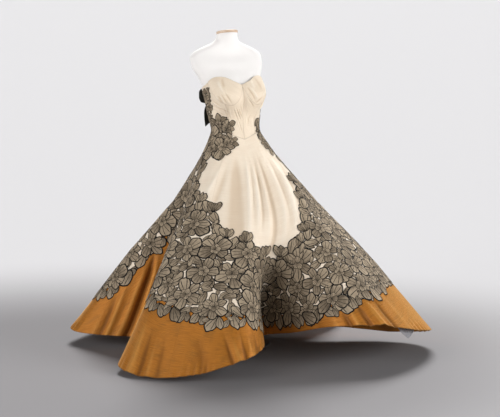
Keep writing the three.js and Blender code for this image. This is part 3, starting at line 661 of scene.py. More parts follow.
CREASES = table(
    "phi to_phi spread depth from to",
    (-40, -58, 3, 6, 0.07, 0.38),
    (-34, -47, 3, -5, 0.07, 0.42),
    (-24.5, -24.5, 6, -9, 0.05, 0.58),
    (-8, -19, 2.4, 7.5, 0.05, 0.56),
    (-3, -15, 1.4, -4, 0.07, 0.46),
    (1, -12, 1.8, 7.5, 0.05, 0.48),
    (6, -10, 1.5, -6, 0.06, 0.5),
    (9, -7, 1.5, 4, 0.08, 0.56),
    (13, -4, 1.8, -7.5, 0.05, 0.64),
    (24, 2, 2.4, 5, 0.06, 0.6),
    (30, 6, 2, -4.5, 0.08, 0.54),
    (38, 9, 2.6, 8.5, 0.08, 0.54),
    (48, 12, 2.4, -8, 0.12, 0.54),
    (58, 22, 2.8, 6, 0.1, 0.46),
    (-12.5, -7, 0.9, -4.5, 0.42, 0.62),
    (-14.5, -9.5, 0.9, 4, 0.42, 0.62),
)
HEM_FOLDS = table(
    "phi to_phi spread depth from",
    (-60, -57, 1.5, 8, 0.74),
    (-56.5, -54, 1.3, -7, 0.76),
    (-53, -51, 1.2, 5, 0.8),
    (-50, -48, 1.2, -5, 0.78),
    (-39, -33, 2.2, -4.5, 0.78),
    (-30, -24.5, 0.8, -9, 0.82),
    (-27.5, -22.5, 0.7, 8, 0.83),
    (-24.5, -20.5, 0.7, -8, 0.83),
    (-22, -18.5, 0.7, 7, 0.85),
    (-19, -16, 0.7, -7, 0.86),
    (-106, -106.1, 0.6, 7, 0.6),
    (-105, -104.9, 0.45, -17, 0.56),
    (-104, -103.8, 0.4, 9, 0.56),
    (-107.4, -106.9, 0.6, -5, 0.74),
    (-108.6, -107.8, 0.6, 9, 0.72),
    (-109.8, -108.7, 0.6, -9, 0.76),
    (-111, -110, 0.8, 5, 0.82),
    (12.6, 12.8, 0.5, -6, 0.9),
    (15, 15.2, 0.6, 7, 0.88),
    (17, 17.2, 0.6, -10, 0.86),
    (18.6, 18.6, 0.5, 10, 0.84),
    (20.6, 20.9, 0.7, -13, 0.82),
    (23.6, 24.2, 0.9, 10, 0.8),
    (27.2, 28.4, 1.3, -8, 0.79),
    (33, 35, 2.2, 4, 0.76),
    (74, 72, 1.6, -7, 0.7),
    (101, 102, 1.2, 8, 0.62),
    (107, 108, 1.4, -8, 0.7),
    (116, 116, 2, 6, 0.72),
    (128, 126, 2.4, -6, 0.74),
    (146, 143, 2.4, 6, 0.74),
    (163, 164, 1.4, -8, 0.7),
    (-128, -126, 2.4, 6, 0.74),
    (-143, -145, 2.4, -6, 0.76),
    (-163, -162, 1.4, 8, 0.7),
)
PUCKERS = {"from": 0.93, "depth": 2.4, "pitch": 2.2}
CREASE_FADE, PAST_HEM = 0.16, 1.05
ROUNDED, CRISP = 2.0, 1.4


def around(rows, column, phi):
    """A column of evenly spaced directions, eased from each to the next, all the way round."""
    count = len(rows["phi"])
    place = (phi - rows["phi"][0]) % 360 / (360 / count)
    k = np.floor(place).astype(int) % count
    share = ease(0, 1, place % 1)
    return rows[column][k] * (1 - share) + rows[column][(k + 1) % count] * share


def fold_depth(phi, u):
    depth = 0.0
    for at, spread, height, start, end in zip(*FOLDS.values()):
        fade = ease(start, start + FOLD_FADE, u) * (1 - ease(end - FOLD_FADE, end, u))
        depth = depth + height * fade * np.exp(-((turned(phi - at) / spread) ** 2))
    return depth


def ridge(phi, u, at, to, spread, start, end, shape):
    """1 on a line that swings from one direction to another on its way down, and 0 well beside it."""
    line = at + (to - at) * np.clip((u - start) / (end - start), 0, 1)
    return np.exp(-np.abs(turned(phi - line) / spread) ** shape)


def crease_depth(phi, u):
    """How far the creases, and the folds and puckers of the hem, stand out of the skirt's plain form."""
    depth = 0.0
    for at, to, spread, height, start, end in zip(*CREASES.values()):
        fade = ease(start, start + CREASE_FADE, u) * (1 - ease(end - CREASE_FADE, end, u))
        depth = depth + height * fade * ridge(phi, u, at, to, spread, start, end, ROUNDED)
    for at, to, spread, height, start in zip(*HEM_FOLDS.values()):
        fade = ease(start, start + CREASE_FADE, u)
        depth = depth + height * fade * ridge(phi, u, at, to, spread, start, PAST_HEM, CRISP)
    ripple = np.sin(2 * math.pi * phi / PUCKERS["pitch"] + 2 * np.sin(0.37 * phi))
    uneven = 0.5 + 0.5 * np.sin(0.31 * phi + 1)
    return depth + PUCKERS["depth"] * ease(PUCKERS["from"], 1, u) * ripple * uneven


def inlet_share(phi, u):
    start = around(INLETS, "from", phi)
    sharp = INLET["top_sharp"] + (around(INLETS, "sharp", phi) - INLET["top_sharp"]) * ease(start, 1, u)
    away = 1 - np.abs(np.cos(2 * np.radians(phi))) ** sharp
    depth = (1 - around(INLETS, "share", phi)) * ease(start, start + INLET["run"], u)
    return depth * (1 - away ** INLET["round"])


def skirt_form(phi, u):
    """The skirt's plain outer face: u runs from the waist seam, 0, to the hem, 1."""
    phi = turned(phi)
    top = waist_seam(phi)
    start = figure_radius(phi, top) + EASE_OVER_FORM
    spread = start + (curve(HEM, "reach", phi) - start) * np.maximum(u, 0) ** curve(HEM, "flare", phi)
    bulge_share = np.clip((u - BULGE_FROM) / (1 - BULGE_FROM), 0, 1)
    spread = spread + curve(HEM, "bulge", phi) * np.sin(math.pi * bulge_share)
    r = spread * (1 - inlet_share(phi, u)) + fold_depth(phi, u)
    return polar(phi, r, top + (curve(HEM, "lift", phi) - top) * u)


def slopes_of(face, steps, s, t):
    """How a face moves with each of its two coordinates."""
    ds, dt = steps
    along_s = (face(s + ds, t) - face(s - ds, t)) / (2 * ds)
    along_t = (face(s, t + dt) - face(s, t - dt)) / (2 * dt)
    return along_s, along_t


SKIRT_STEPS = (0.05, 0.0005)
CREASE_FULL = 7.0


def skirt_point(phi, u):
    """The skirt's outer face with its creases, which stand square to the plain face."""
    inward = unit(np.cross(*slopes_of(skirt_form, SKIRT_STEPS, phi, u)))
    return skirt_form(phi, u) - inward * crease_depth(turned(phi), u)[..., None]


LACE_EDGE = table(
    "phi top bottom",
    (-180, -0.02, 0.84),
    (-135, -0.02, 0.85),
    (-118, -0.02, 0.82),
    (-113, -0.02, 0.81),
    (-110, -0.02, 0.755),
    (-108.5, -0.02, 0.675),
    (-107, -0.02, 0.6),
    (-104, -0.02, 0.535),
    (-100, -0.02, 0.505),
    (-90, -0.02, 0.49),
    (-80, 0, 0.6),
    (-75, 0.13, 0.67),
    (-70, 0.255, 0.705),
    (-63, 0.335, 0.725),
    (-55, 0.31, 0.745),
    (-46, 0.325, 0.76),
    (-40, 0.36, 0.772),
    (-35, 0.435, 0.795),
    (-24, 0.49, 0.835),
    (-17, 0.515, 0.87),
    (-12, 0.58, 0.915),
    (-4, 0.57, 0.93),
    (5, 0.59, 0.94),
    (9, 0.585, 0.942),
    (13, 0.54, 0.935),
    (17, 0.525, 0.915),
    (22, 0.455, 0.87),
    (28, 0.375, 0.84),
    (37, 0.33, 0.795),
    (45, 0.27, 0.765),
    (54, 0.22, 0.75),
    (66, 0.12, 0.71),
    (78, 0, 0.62),
    (90, -0.02, 0.5),
    (103, -0.02, 0.6),
    (114, -0.02, 0.79),
    (135, -0.02, 0.85),
    (180, -0.02, 0.84),
)
SEAM_UNDER_LACE = 0.035
SKIRT_PANELS = {"front": 0, "side_left": 90, "back": 180, "side_right": 270}
PANEL_HALF, GATHERING = 45, 1.3
PANEL_GAP, ROW_GAP = 0.0002, 0.0008
SKIRT_COLUMNS, FAILLE_ROWS, SHANTUNG_ROWS = 340, 44, 32


def lace_edge(phi, column):
    return curve(LACE_EDGE, column, turned(phi))


def panel_columns(inlet):
    t = inside(-1, 1, SKIRT_COLUMNS, PANEL_GAP)
    return (inlet + np.sign(t) * PANEL_HALF * np.abs(t) ** GATHERING)[:, None]


skirt_faille = faille_finish("skirt_faille", IVORY_LIGHT, IVORY_DEEP, 0.3)
for panel, inlet in SKIRT_PANELS.items():
    phi = panel_columns(inlet)
    u = inside(0, 1, FAILLE_ROWS, ROW_GAP)[None, :] * (lace_edge(phi, "bottom") - SEAM_UNDER_LACE)
    add_cloth(
        f"skirt_faille_{panel}", skirt_point(phi, u), -FAILLE_THICK, 0, polar(inlet, 1, 0),
        skirt_faille, "faille", f"skirt_{panel}",
        crease_depth(turned(phi), u) / CREASE_FULL,
    )


# The hem: four panels of copper shantung, shot with brown, seamed to the faille under the lace's edge.
# The shantung is stiff and slubbed, and its turned hem pulls short folds into it.
SHANTUNG_THICK = 2.4
COPPER_LIGHT, COPPER_DEEP, COPPER_SHOT = (0.55, 0.21, 0.029), (0.37, 0.13, 0.018), (0.22, 0.11, 0.03)
# The first two colours are painted shade for the folds' hollows and painted highlight for their crests.
COPPER_PAINTED_HOLLOW_SHADE, COPPER_PAINTED_CREST_LIGHT, COPPER_EDGE = (0.15, 0.05, 0.008), (0.68, 0.33, 0.075), (0.12, 0.055, 0.02)
HEM_TURNED = 26
shantung = Finish(
    "copper_shantung", Metallic=0.3, Specular_IOR_Level=0.2,
    Sheen_Weight=0.6, Sheen_Roughness=0.4, Sheen_Tint=(1.0, 0.6, 0.2, 1),
)
slubs = shantung.weave((0.016, 0.35, 1), detail=4, roughness=0.6)
streaks = shantung.weave((0.05, 0.006, 1), detail=3)
shot = shantung.weave(0.014, detail=3)
_, down, _ = shantung.parts(shantung.woven("cloth"))
_, _, bottom = shantung.parts(shantung.woven("edges"))
hem_stitch = (bottom - HEM_TURNED).size().rise(0.4, 1.6)
hem_edge = 1 - bottom.rise(1.5, 5.0)
weft_and_fold_shade = shantung.blend((slubs * 0.9 + streaks * 0.12).rise(0.3, 0.75), COPPER_LIGHT, COPPER_DEEP)
weft_and_fold_shade = shantung.blend((shot * 0.8 + slubs * 0.4).rise(0.55, 0.85) * 0.4, weft_and_fold_shade, COPPER_SHOT)
folds, _, _ = shantung.parts(shantung.woven("relief"))
# Painted shade darkens the hollows of the folds, and a painted highlight lightens their crests.
weft_and_fold_shade = shantung.blend((0 - folds).rise(0.05, 1.0) * 0.7, weft_and_fold_shade, COPPER_PAINTED_HOLLOW_SHADE)
weft_and_fold_shade = shantung.blend(folds.rise(0.1, 1.0) * 0.45, weft_and_fold_shade, COPPER_PAINTED_CREST_LIGHT)
shantung.wear(
    Base_Color=shantung.blend(hem_edge * 0.6, weft_and_fold_shade, COPPER_EDGE),
    Roughness=slubs * 0.25 + 0.32,
)
shantung.bump(slubs + hem_stitch * 0.8 + (down * 4.4).sine() * 0.08, 0.0009)
for panel, inlet in SKIRT_PANELS.items():
    phi = panel_columns(inlet)
    seam_u = lace_edge(phi, "bottom") - SEAM_UNDER_LACE
    u = seam_u + (1 - seam_u) * inside(0, 1, SHANTUNG_ROWS, ROW_GAP)[None, :]
    add_cloth(
        f"hem_shantung_{panel}", skirt_point(phi, u), -SHANTUNG_THICK, 0, polar(inlet, 1, 0),
        shantung, "shantung", f"hem_{panel}",
        crease_depth(turned(phi), u) / CREASE_FULL,
    )


# The lace: flowers, petals and leaves of black net edged with cord, cut out and laid over the faille
# from the hips to the copper hem. The motifs are generic.
LACE_SEED = 11
LACE_FLOWER, FLOWER_APART = 84.0, 110.0
PETAL_RINGS = np.array([0.45, 0.80, 0.90, 1.0])
PETAL_TURNS = 18
LACE_LAYERS = {"first": 0.8, "step": 0.3, "spread": 1.5, "crown": 0.7}
LACE_CORD = {"at": 0.92, "wide": 0.05, "high": 0.7}
OUTER = {"stray": 0.24, "far": 0.52, "long": (0.78, 1.16), "wide": (0.58, 0.9), "point": 1.1}
HEART = {"petals": 5, "turn": 0.5, "far": 0.17, "long": 0.42, "wide": 0.34}
SCATTERED = {"size": (0.82, 1.12), "petals": (5, 8)}
LEAF = {
    "tries": 24, "lean": 2.6, "long": (0.8, 1.25), "wide": (0.42, 0.62),
    "point": (1, 1.8), "layer": (0, 1.2),
}
FLOWER_ROOM, FLOWER_BELOW = 0.04, 0.03
LACE_FILLS = ((0.1, 70), (0.05, 48))
LACE_GRID, LACE_GRID_LEVEL = (420, 150), 0.8
EDGE_SIZES = (68, 50, 80, 60, 44)
SAMPLE_APART = 10.0
PETAL_COVER = 0.8
LACE_USE = 0.75
EDGE_PETAL = {
    "step": 0.25, "apart": 0.6, "lean": 0.7, "shift": 0.2,
    "long": 1.3, "wide": (0.62, 0.85), "point": (1, 1.6), "layer": (0, 1.5),
}
WALK_STEPS = 5


class Surface:
    """A face of the gown that lace is laid on, in its own two coordinates, with its plain form."""

    def __init__(self, form, point, steps, facing):
        self.form, self.point, self.steps, self.facing = form, point, steps, facing

    def frames(self, s, t):
        """At each (s, t) its point, and unit vectors aside and down along the surface."""
        along_s, along_t = slopes_of(self.form, self.steps, s, t)
        down = unit(along_t)
        aside = unit(along_s - down * (along_s * down).sum(-1, keepdims=True))
        return self.point(s, t), aside, down

    def moved(self, s, t, aside, down):
        """The coordinates of points that lie aside and down from (s, t), in millimetres."""
        for _ in range(WALK_STEPS):
            along_s, along_t = slopes_of(self.form, self.steps, s, t)
            long_t = np.linalg.norm(along_t, axis=-1)
            lean = (along_s * along_t).sum(-1) / long_t
            wide_s = np.sqrt(np.maximum((along_s**2).sum(-1) - lean**2, 1e-6))
            shift = aside / WALK_STEPS / wide_s
            s, t = s + shift, t + (down / WALK_STEPS - shift * lean) / long_t
        return s, t

    def raised(self, s, t, out):
        normal = unit(np.cross(*slopes_of(self.point, self.steps, s, t)))
        return self.point(s, t) + normal * (self.facing * out)[..., None]


class Lace:
    """Petals laid on a surface, a row for each: its place, lean, length, width, point, layer and tone.
    samples are the coordinates of points spread evenly over the lace."""

    def __init__(self, surface, samples, seed):
        self.surface = surface
        self.s, self.t = samples
        self.frames = surface.frames(*samples)
        self.rng = np.random.default_rng(seed)
        self.petals = []

    def add(self, s, t, lean, long, wide, point, layer):
        """Petals whose middles are at (s, t), with tips that point down, turned by lean. They are round
        where point is 1, and pointed like a leaf where it is near 2."""
        rows = np.broadcast_arrays(s, t, lean, long, wide, point, layer)
        self.petals += np.stack([*rows, self.rng.random(rows[0].shape)], -1).reshape(-1, 8).tolist()

    def flower(self, s, t, size, petals=7, slim=1.0):
        """Broad petals round a heart of small ones."""
        start = self.rng.uniform(0, 2 * math.pi)
        lift = self.rng.uniform(0, LACE_LAYERS["spread"])
        outer, heart = np.arange(petals), np.arange(HEART["petals"])
        stray = self.rng.uniform(-OUTER["stray"], OUTER["stray"], petals)
        lean = start + 2 * math.pi * (outer + stray) / petals
        long = size * self.rng.uniform(*OUTER["long"], petals)
        wide = slim * long * self.rng.uniform(*OUTER["wide"], petals)
        lean = np.concatenate([lean, start + HEART["turn"] + 2 * math.pi * heart / len(heart)])
        far, long, wide = (
            np.append(broad, np.full(len(heart), HEART[key] * size))
            for key, broad in (("far", OUTER["far"] * long), ("long", long), ("wide", wide))
        )
        layer = lift + LACE_LAYERS["step"] * np.concatenate([outer % 3, 3 + heart % 2])
        place = self.surface.moved(s, t, far * np.sin(lean), far * np.cos(lean))
        self.add(*place, lean, long, wide, OUTER["point"], layer)

    def under(self, frame, petal):
        """Which samples a petal covers."""
        middle, aside, down = frame
        lean, long, wide = petal
        off = self.frames[0] - middle
        x, y, out = off @ aside, off @ down, off @ np.cross(aside, down)
        tip = x * math.sin(lean) + y * math.cos(lean)
        side = x * math.cos(lean) - y * math.sin(lean)
        return (2 * tip / long) ** 2 + (2 * side / wide) ** 2 + (3 * out / long) ** 2 < PETAL_COVER

    def scatter(self, keep, apart, size):
        """Flowers over the samples that keep allows, no two nearer than apart."""
        points = self.frames[0]
        chosen = np.empty((0, 3))
        for k in self.rng.permutation(np.flatnonzero(keep)):
            if not len(chosen) or np.linalg.norm(chosen - points[k], axis=1).min() > apart:
                chosen = np.vstack([chosen, points[k]])
                grown = size * self.rng.uniform(*SCATTERED["size"])
                self.flower(self.s[k], self.t[k], grown, self.rng.integers(*SCATTERED["petals"]))

    def fill(self, among, bare_share, size):
        """Leaves over the largest bare spots, until only a share of the samples is bare."""
        points, asides, downs = self.frames
        laid = np.array(self.petals)
        count = np.zeros(len(points), int)
        for petal, *frame in zip(laid[:, 2:5], *self.surface.frames(laid[:, 0], laid[:, 1])):
            count += self.under(frame, petal)
        count[~among] = 1
        while (count == 0).sum() > bare_share * among.sum():
            bare = np.flatnonzero(count == 0)
            tries = self.rng.choice(bare, min(LEAF["tries"], len(bare)), replace=False)
            near = np.linalg.norm(points[bare][None] - points[tries][:, None], axis=-1) < size / 2
            k = tries[near.sum(1).argmax()]
            long = size * self.rng.uniform(*LEAF["long"])
            lean = self.rng.uniform(-LEAF["lean"], LEAF["lean"])
            petal = (lean, long, long * self.rng.uniform(*LEAF["wide"]))
            point, layer = self.rng.uniform(*LEAF["point"]), self.rng.uniform(*LEAF["layer"])
            self.add(self.s[k], self.t[k], *petal, point, layer)
            count += self.under((points[k], asides[k], downs[k]), petal)

    def mesh(self):
        s, t, lean, long, wide, point, layer, tone = np.array(self.petals).T[:, :, None]
        angle = np.linspace(0, 2 * math.pi, PETAL_TURNS + 1)[:-1]
        ring = np.concatenate([[0], np.repeat(PETAL_RINGS, PETAL_TURNS)])[None, :]
        theta = np.concatenate([[0], np.tile(angle, len(PETAL_RINGS))])[None, :]
        tip = np.cos(theta)
        frill = 0.6 * np.cos(theta * 5 + 9 * tone) + 0.4 * np.cos(theta * 3 + 21 * tone)
        scallop = 1 - 0.2 * (0.5 + 0.5 * frill) * ease(-0.4, 0.6, tip)
        x = 0.5 * wide * np.sign(np.sin(theta)) * np.abs(np.sin(theta)) ** point
        x = x * (1 + 0.3 * (2 - point) * tip) * scallop * ring
        y = 0.5 * long * tip * scallop * ring
        aside = x * np.cos(lean) + y * np.sin(lean)
        down = y * np.cos(lean) - x * np.sin(lean)
        place = self.surface.moved(s, t, aside, down)
        cord = np.exp(-(((ring - LACE_CORD["at"]) / LACE_CORD["wide"]) ** 2))
        out = LACE_LAYERS["first"] + layer + LACE_LAYERS["crown"] * (1 - ring**2) + LACE_CORD["high"] * cord
        points = self.surface.raised(*place, out)
        fan = np.arctan2(x, y + 0.62 * long) * (2.6 + 1.8 * tone)
        carried = np.stack(np.broadcast_arrays(ring, fan, tone), -1)
        run = np.stack([x, y, 0.5 + y / long], -1)
        first = 1 + np.arange(PETAL_TURNS)
        after = np.roll(first, -1)
        fans = np.stack([0 * first, first, after], -1)
        bands = [
            np.stack([first, first + PETAL_TURNS, after + PETAL_TURNS, after], -1) + k * PETAL_TURNS
            for k in range(len(PETAL_RINGS) - 1)
        ]
        count, each = points.shape[:2]
        start = each * np.arange(count)[:, None, None]
        tris = (fans[None] + start).reshape(-1, 3)
        quads = (np.concatenate(bands)[None] + start).reshape(-1, 4)
        if self.surface.facing > 0:
            tris, quads = tris[:, ::-1], quads[:, ::-1]
        vectors = {"motif": carried.reshape(-1, 3), "cloth": run.reshape(-1, 3)}
        rim_x, rim_y = x[:, -PETAL_TURNS:], y[:, -PETAL_TURNS:]
        area = np.abs(rim_x * np.roll(rim_y, -1, 1) - rim_y * np.roll(rim_x, -1, 1)).sum() / 2e6
        return points.reshape(-1, 3), tris.tolist() + quads.tolist(), vectors, float(area)


def spread_out(grid, apart, seed):
    """Which cells of a grid hold a sample, about apart from each other, and how wide the grid is."""
    cells = np.linalg.norm(np.cross(np.diff(grid, axis=0)[:, :-1], np.diff(grid, axis=1)[:-1]), axis=-1)
    kept = np.random.default_rng(seed).random(cells.shape) < cells / apart**2
    return kept, float(walked(grid, 0)[-1].max()) / 1000


def add_lace(name, lace, node, width):
    """Motifs cut side by side from lace as wide as the place they cover, and laid so that they overlap."""
    points, faces, carried, area = lace.mesh()
    piece = add_piece(name, node, "lace", lace_net, points, faces, carried, sharp=180)
    area / (LACE_USE * width)


NET_PALE, NET_DEEP, NET_HATCH = (0.42, 0.335, 0.235), (0.15, 0.115, 0.078), (0.07, 0.056, 0.04)
CORD_BLACK = (0.010, 0.0095, 0.009)
lace_net = Finish("black_lace", Roughness=0.8, Specular_IOR_Level=0.15)
ring, fan, tone = lace_net.parts(lace_net.woven("motif"))
cord = ring.rise(0.80, 0.87)
vein = (1 - ((fan.part() - 0.5).size()).rise(0.05, 0.12)) * (1 - ring.rise(0.5, 0.85) * 0.7)
mottle = lace_net.weave((0.09, 0.09, 1), detail=3)
hatch = lace_net.weave((0.9, 0.16, 1), detail=2)
_, _, tipward = lace_net.parts(lace_net.woven("cloth"))
depth = (tone * 0.5 + mottle * 0.7 - tipward * 0.7 + 0.25).rise(0.1, 1.0)
net = lace_net.blend(depth, NET_PALE, NET_DEEP)
net = lace_net.blend(hatch.rise(0.5, 0.75) * 0.3, net, NET_HATCH)
lace_net.wear(Base_Color=lace_net.blend(cord.most(vein * 0.9), net, CORD_BLACK))
lace_net.bump(cord + vein * 0.5 + hatch * 0.3, 0.0008)

SKIRT_SPRAYS = table(
    "phi u size",
    (-70, 0.075, 74),
    (-50, 0.06, 66),
    (-36, 0.03, 46),
    (68, 0.06, 56),
    (52, 0.05, 46),
)
SPRAY = {"petals": 6, "slim": 0.85}
SPRIG = {
    "first": 6, "apart": 13, "stray": 3, "count": 5, "above": 0.012,
    "leaves": 3, "long": 68, "wide": 40, "fan": 34, "far": 0.4,
}
TRAIL = {"phi": 60, "u": 0.02, "to_phi": 47, "to_u": 0.1, "leaves": 6, "long": 62, "wide": 27, "fan": 30}
WAIST_LEAVES = table(
    "phi u lean long wide",
    (-55, 0.017, 85, 54, 30),
    (-64, 0.015, 100, 46, 28),
    (-86, 0.15, 8, 92, 42),
    (51, 0.016, 90, 46, 28),
)
on_skirt = Surface(skirt_form, skirt_point, SKIRT_STEPS, -1)


def even_columns(first, last, count, u):
    """Directions whose points are evenly spaced along the skirt at u."""
    phi = np.linspace(first, last, 3601)
    walk = walked(skirt_form(phi, u)[:, None], 0)[:, 0]
    return np.interp(np.linspace(0, walk[-1], count), walk, phi)


def edge_petals(lace, column, out, first, last):
    """Petals along one edge of the lace, which point out of it."""
    phi = np.arange(first, last, EDGE_PETAL["step"])
    u = lace_edge(phi, column)
    walk = walked(skirt_form(phi, u)[:, None], 0)[:, 0]
    chosen, sizes, gone = [], [], walk[0]
    for k in np.flatnonzero(u > 0.01):
        size = EDGE_SIZES[len(chosen) % len(EDGE_SIZES)]
        if walk[k] - gone > EDGE_PETAL["apart"] * size:
            chosen.append(k)
            sizes.append(size)
            gone = walk[k]
    sizes = np.array(sizes)
    outward = 0 if out > 0 else math.pi
    lean = outward + lace.rng.uniform(-EDGE_PETAL["lean"], EDGE_PETAL["lean"], len(sizes))
    shift = out * sizes * lace.rng.uniform(-EDGE_PETAL["shift"], EDGE_PETAL["shift"], len(sizes))
    place = lace.surface.moved(phi[chosen], u[chosen], 0, shift)
    wide = sizes * lace.rng.uniform(*EDGE_PETAL["wide"], len(sizes))
    point, layer = (lace.rng.uniform(*EDGE_PETAL[key], len(sizes)) for key in ("point", "layer"))
    lace.add(*place, lean, EDGE_PETAL["long"] * sizes, wide, point, layer)


def sprig(lace, at):
    """A few leaves that fan out upwards from the lace's upper edge."""
    fan = np.arange(SPRIG["leaves"]) - (SPRIG["leaves"] - 1) / 2
    lean = math.pi + np.radians(SPRIG["fan"]) * fan
    long = SPRIG["long"] * lace.rng.uniform(0.75, 1.1, SPRIG["leaves"])
    edge = lace_edge(at, "top") - SPRIG["above"]
    far = SPRIG["far"] * long
    place = lace.surface.moved(at, edge, far * np.sin(lean), far * np.cos(lean))
    lace.add(*place, lean, long, SPRIG["wide"], 1.3, 1.6)


def sprays(lace, rows, sign):
    """The flowers of a table that are on one side."""
    for at, level, size in zip(*rows.values()):
        if at * sign > 0:
            lace.flower(at, level, size, SPRAY["petals"], SPRAY["slim"])


def waist_leaves(lace, rows, sign, point, layer):
    """The leaves of a table that are on one side. They cover bare spots near the waist."""
    for at, level, lean, long, wide in zip(*rows.values()):
        if at * sign > 0:
            lace.add(at, level, math.radians(lean), long, wide, point, layer)


def trail(lace, run, sign, upright):
    """Leaves one after another along a line, leaning to each side of it in turn."""
    share = np.linspace(0, 1, run["leaves"])
    at = sign * (run["phi"] + (run["to_phi"] - run["phi"]) * share)
    level = run[upright] + (run[f"to_{upright}"] - run[upright]) * share
    lean = np.radians(run["fan"]) * (-1.0) ** np.arange(run["leaves"])
    lace.add(at, level, lean, run["long"], run["wide"], 1.4, 1.4)


for side, sign in SIDES.items():
    first, last = (0, 180) if sign > 0 else (-180, 0)
    columns = even_columns(first, last, LACE_GRID[0], LACE_GRID_LEVEL)
    phi, level = np.meshgrid(columns, np.linspace(0, 1, LACE_GRID[1]), indexing="ij")
    u = np.maximum(lace_edge(phi, "top"), 0.004)
    u = u + (lace_edge(phi, "bottom") - u) * level
    kept, width = spread_out(skirt_form(phi, u), SAMPLE_APART, LACE_SEED)
    s, t = phi[:-1, :-1][kept], u[:-1, :-1][kept]
    lace = Lace(on_skirt, (s, t), LACE_SEED + sign)
    for column, out in (("top", -1), ("bottom", 1)):
        edge_petals(lace, column, out, first + 1, last - 1)
    sprays(lace, SKIRT_SPRAYS, sign)
    for k in range(SPRIG["count"]):
        stray = lace.rng.uniform(-SPRIG["stray"], SPRIG["stray"])
        sprig(lace, sign * (SPRIG["first"] + SPRIG["apart"] * k) + stray)
    trail(lace, TRAIL, sign, "u")
    waist_leaves(lace, WAIST_LEAVES, sign, 1.3, 1.6)
    room = np.minimum(t - lace_edge(s, "top"), lace_edge(s, "bottom") - t)
    lace.scatter((room > FLOWER_ROOM) & (t > FLOWER_BELOW), FLOWER_APART, LACE_FLOWER)
    for bare_share, size in LACE_FILLS:
        lace.fill(np.full(len(s), True), bare_share, size)
    add_lace(f"lace_over_skirt_{side}", lace, f"lace_skirt_{side}", width)


# The bodice's lace: the same motifs over its sides and back, sewn down at their edges.
# Flowers and a trail of leaves rise from each hip.
BODICE_SPRAYS = table("phi z size", (-66, 1098, 52), (-44, 1084, 44), (68, 1090, 40))
BODICE_TRAIL = {
    "phi": 60, "z": 1066, "to_phi": 46, "to_z": 1104, "leaves": 5, "long": 50, "wide": 24, "fan": 26,
}
BODICE_WAIST_LEAVES = table(
    "phi z lean long wide",
    (52, 1060, 90, 40, 22),
    (-56, 1066, 90, 46, 24),
)
LACE_FRONT = table("z phi", (990, 78), (1060, 74), (1126, 78), (1180, 74), (1240, 69), (1300, 67))
BODICE_FLOWER = {"size": 40, "apart": 66, "share": (0.1, 0.97), "level": (0.12, 0.84)}
BODICE_FILL = {"bare": 0.06, "size": 34, "level": (0.06, 0.93)}
BODICE_STEPS = (0.2, 0.4)


def between(values, limits):
    return (values > limits[0]) & (values < limits[1])


on_bodice = Surface(bodice_point, bodice_point, BODICE_STEPS, 1)
for side, sign in SIDES.items():
    share, level = np.meshgrid(np.linspace(0, 1, 120), np.linspace(0.01, 0.99, 120), indexing="ij")
    low, high = waist_seam(180), neckline(100)
    front = curve(LACE_FRONT, "phi", low + (high - low) * level)
    phi = sign * (front + (180 - front) * share)
    z = waist_seam(phi) + (neckline(phi) - waist_seam(phi)) * level
    kept, width = spread_out(bodice_point(phi, z), SAMPLE_APART / 2, LACE_SEED)
    share, level = share[:-1, :-1][kept], level[:-1, :-1][kept]
    lace = Lace(on_bodice, (phi[:-1, :-1][kept], z[:-1, :-1][kept]), LACE_SEED + 5 + sign)
    sprays(lace, BODICE_SPRAYS, sign)
    trail(lace, BODICE_TRAIL, sign, "z")
    waist_leaves(lace, BODICE_WAIST_LEAVES, sign, 1.5, 1.2)
    room = between(share, BODICE_FLOWER["share"]) & between(level, BODICE_FLOWER["level"])
    lace.scatter(room, BODICE_FLOWER["apart"], BODICE_FLOWER["size"])
    lace.fill(between(level, BODICE_FILL["level"]), BODICE_FILL["bare"], BODICE_FILL["size"])
    add_lace(f"lace_over_bodice_{side}", lace, f"lace_bodice_{side}", width)


# The bow at the centre back: a folded ribbon of black silk velvet, sewn on over the lace.
# A padded knot holds a doubled loop and a tail with a slanted end on each side.
BOW = {"y": 164, "z": 1204, "knot_y": -5, "wide": 19, "deep": 19, "tall": 27}
LOOP = table(
    "s x y z wide",
    (0, 20, -5, 3, 38),
    (1, 58, -11, 10, 60),
    (2, 101, -12, 16, 66),
    (3, 118, 1, 22, 18),
    (4, 101, 14, 16, 66),
    (5, 58, 14, 10, 60),
    (6, 20, 7, 3, 38),
)
TAIL = table(
    "s x y z wide turn",
    (0, 20, -14, -8, 26, 4),
    (1, 47, -20, -24, 66, 46),
    (2, 64, -22, -62, 76, 80),
    (3, 63, -19, -108, 64, 90),
)
TAIL_CUT = 52
CRUSH = {"deep": 2.2, "waves": 17}
FLUTING = {"deep": 1.6, "waves": 15, "fade": 0.6}
GATHERS = {"deep": 0.05, "count": 7}
VELVET_THICK = 3.0
VELVET_DARK, VELVET_NAP = (0.010, 0.010, 0.008), (0.028, 0.026, 0.022)
velvet = Finish(
    "black_velvet", Roughness=0.95, Specular_IOR_Level=0.1, Sheen_Weight=0.35, Sheen_Roughness=0.3
)
nap = velvet.weave(0.05, detail=3)
pile = velvet.weave(2.4, detail=1)
velvet.wear(Base_Color=velvet.blend(nap.rise(0.3, 0.75), VELVET_DARK, VELVET_NAP))
velvet.bump(pile, 0.0006)
s, v = np.meshgrid(np.linspace(0, 6, 90), np.linspace(-0.5, 0.5, 22), indexing="ij")
tail_s, tail_v = np.meshgrid(np.linspace(0, 3, 50), np.linspace(-0.5, 0.5, 24), indexing="ij")
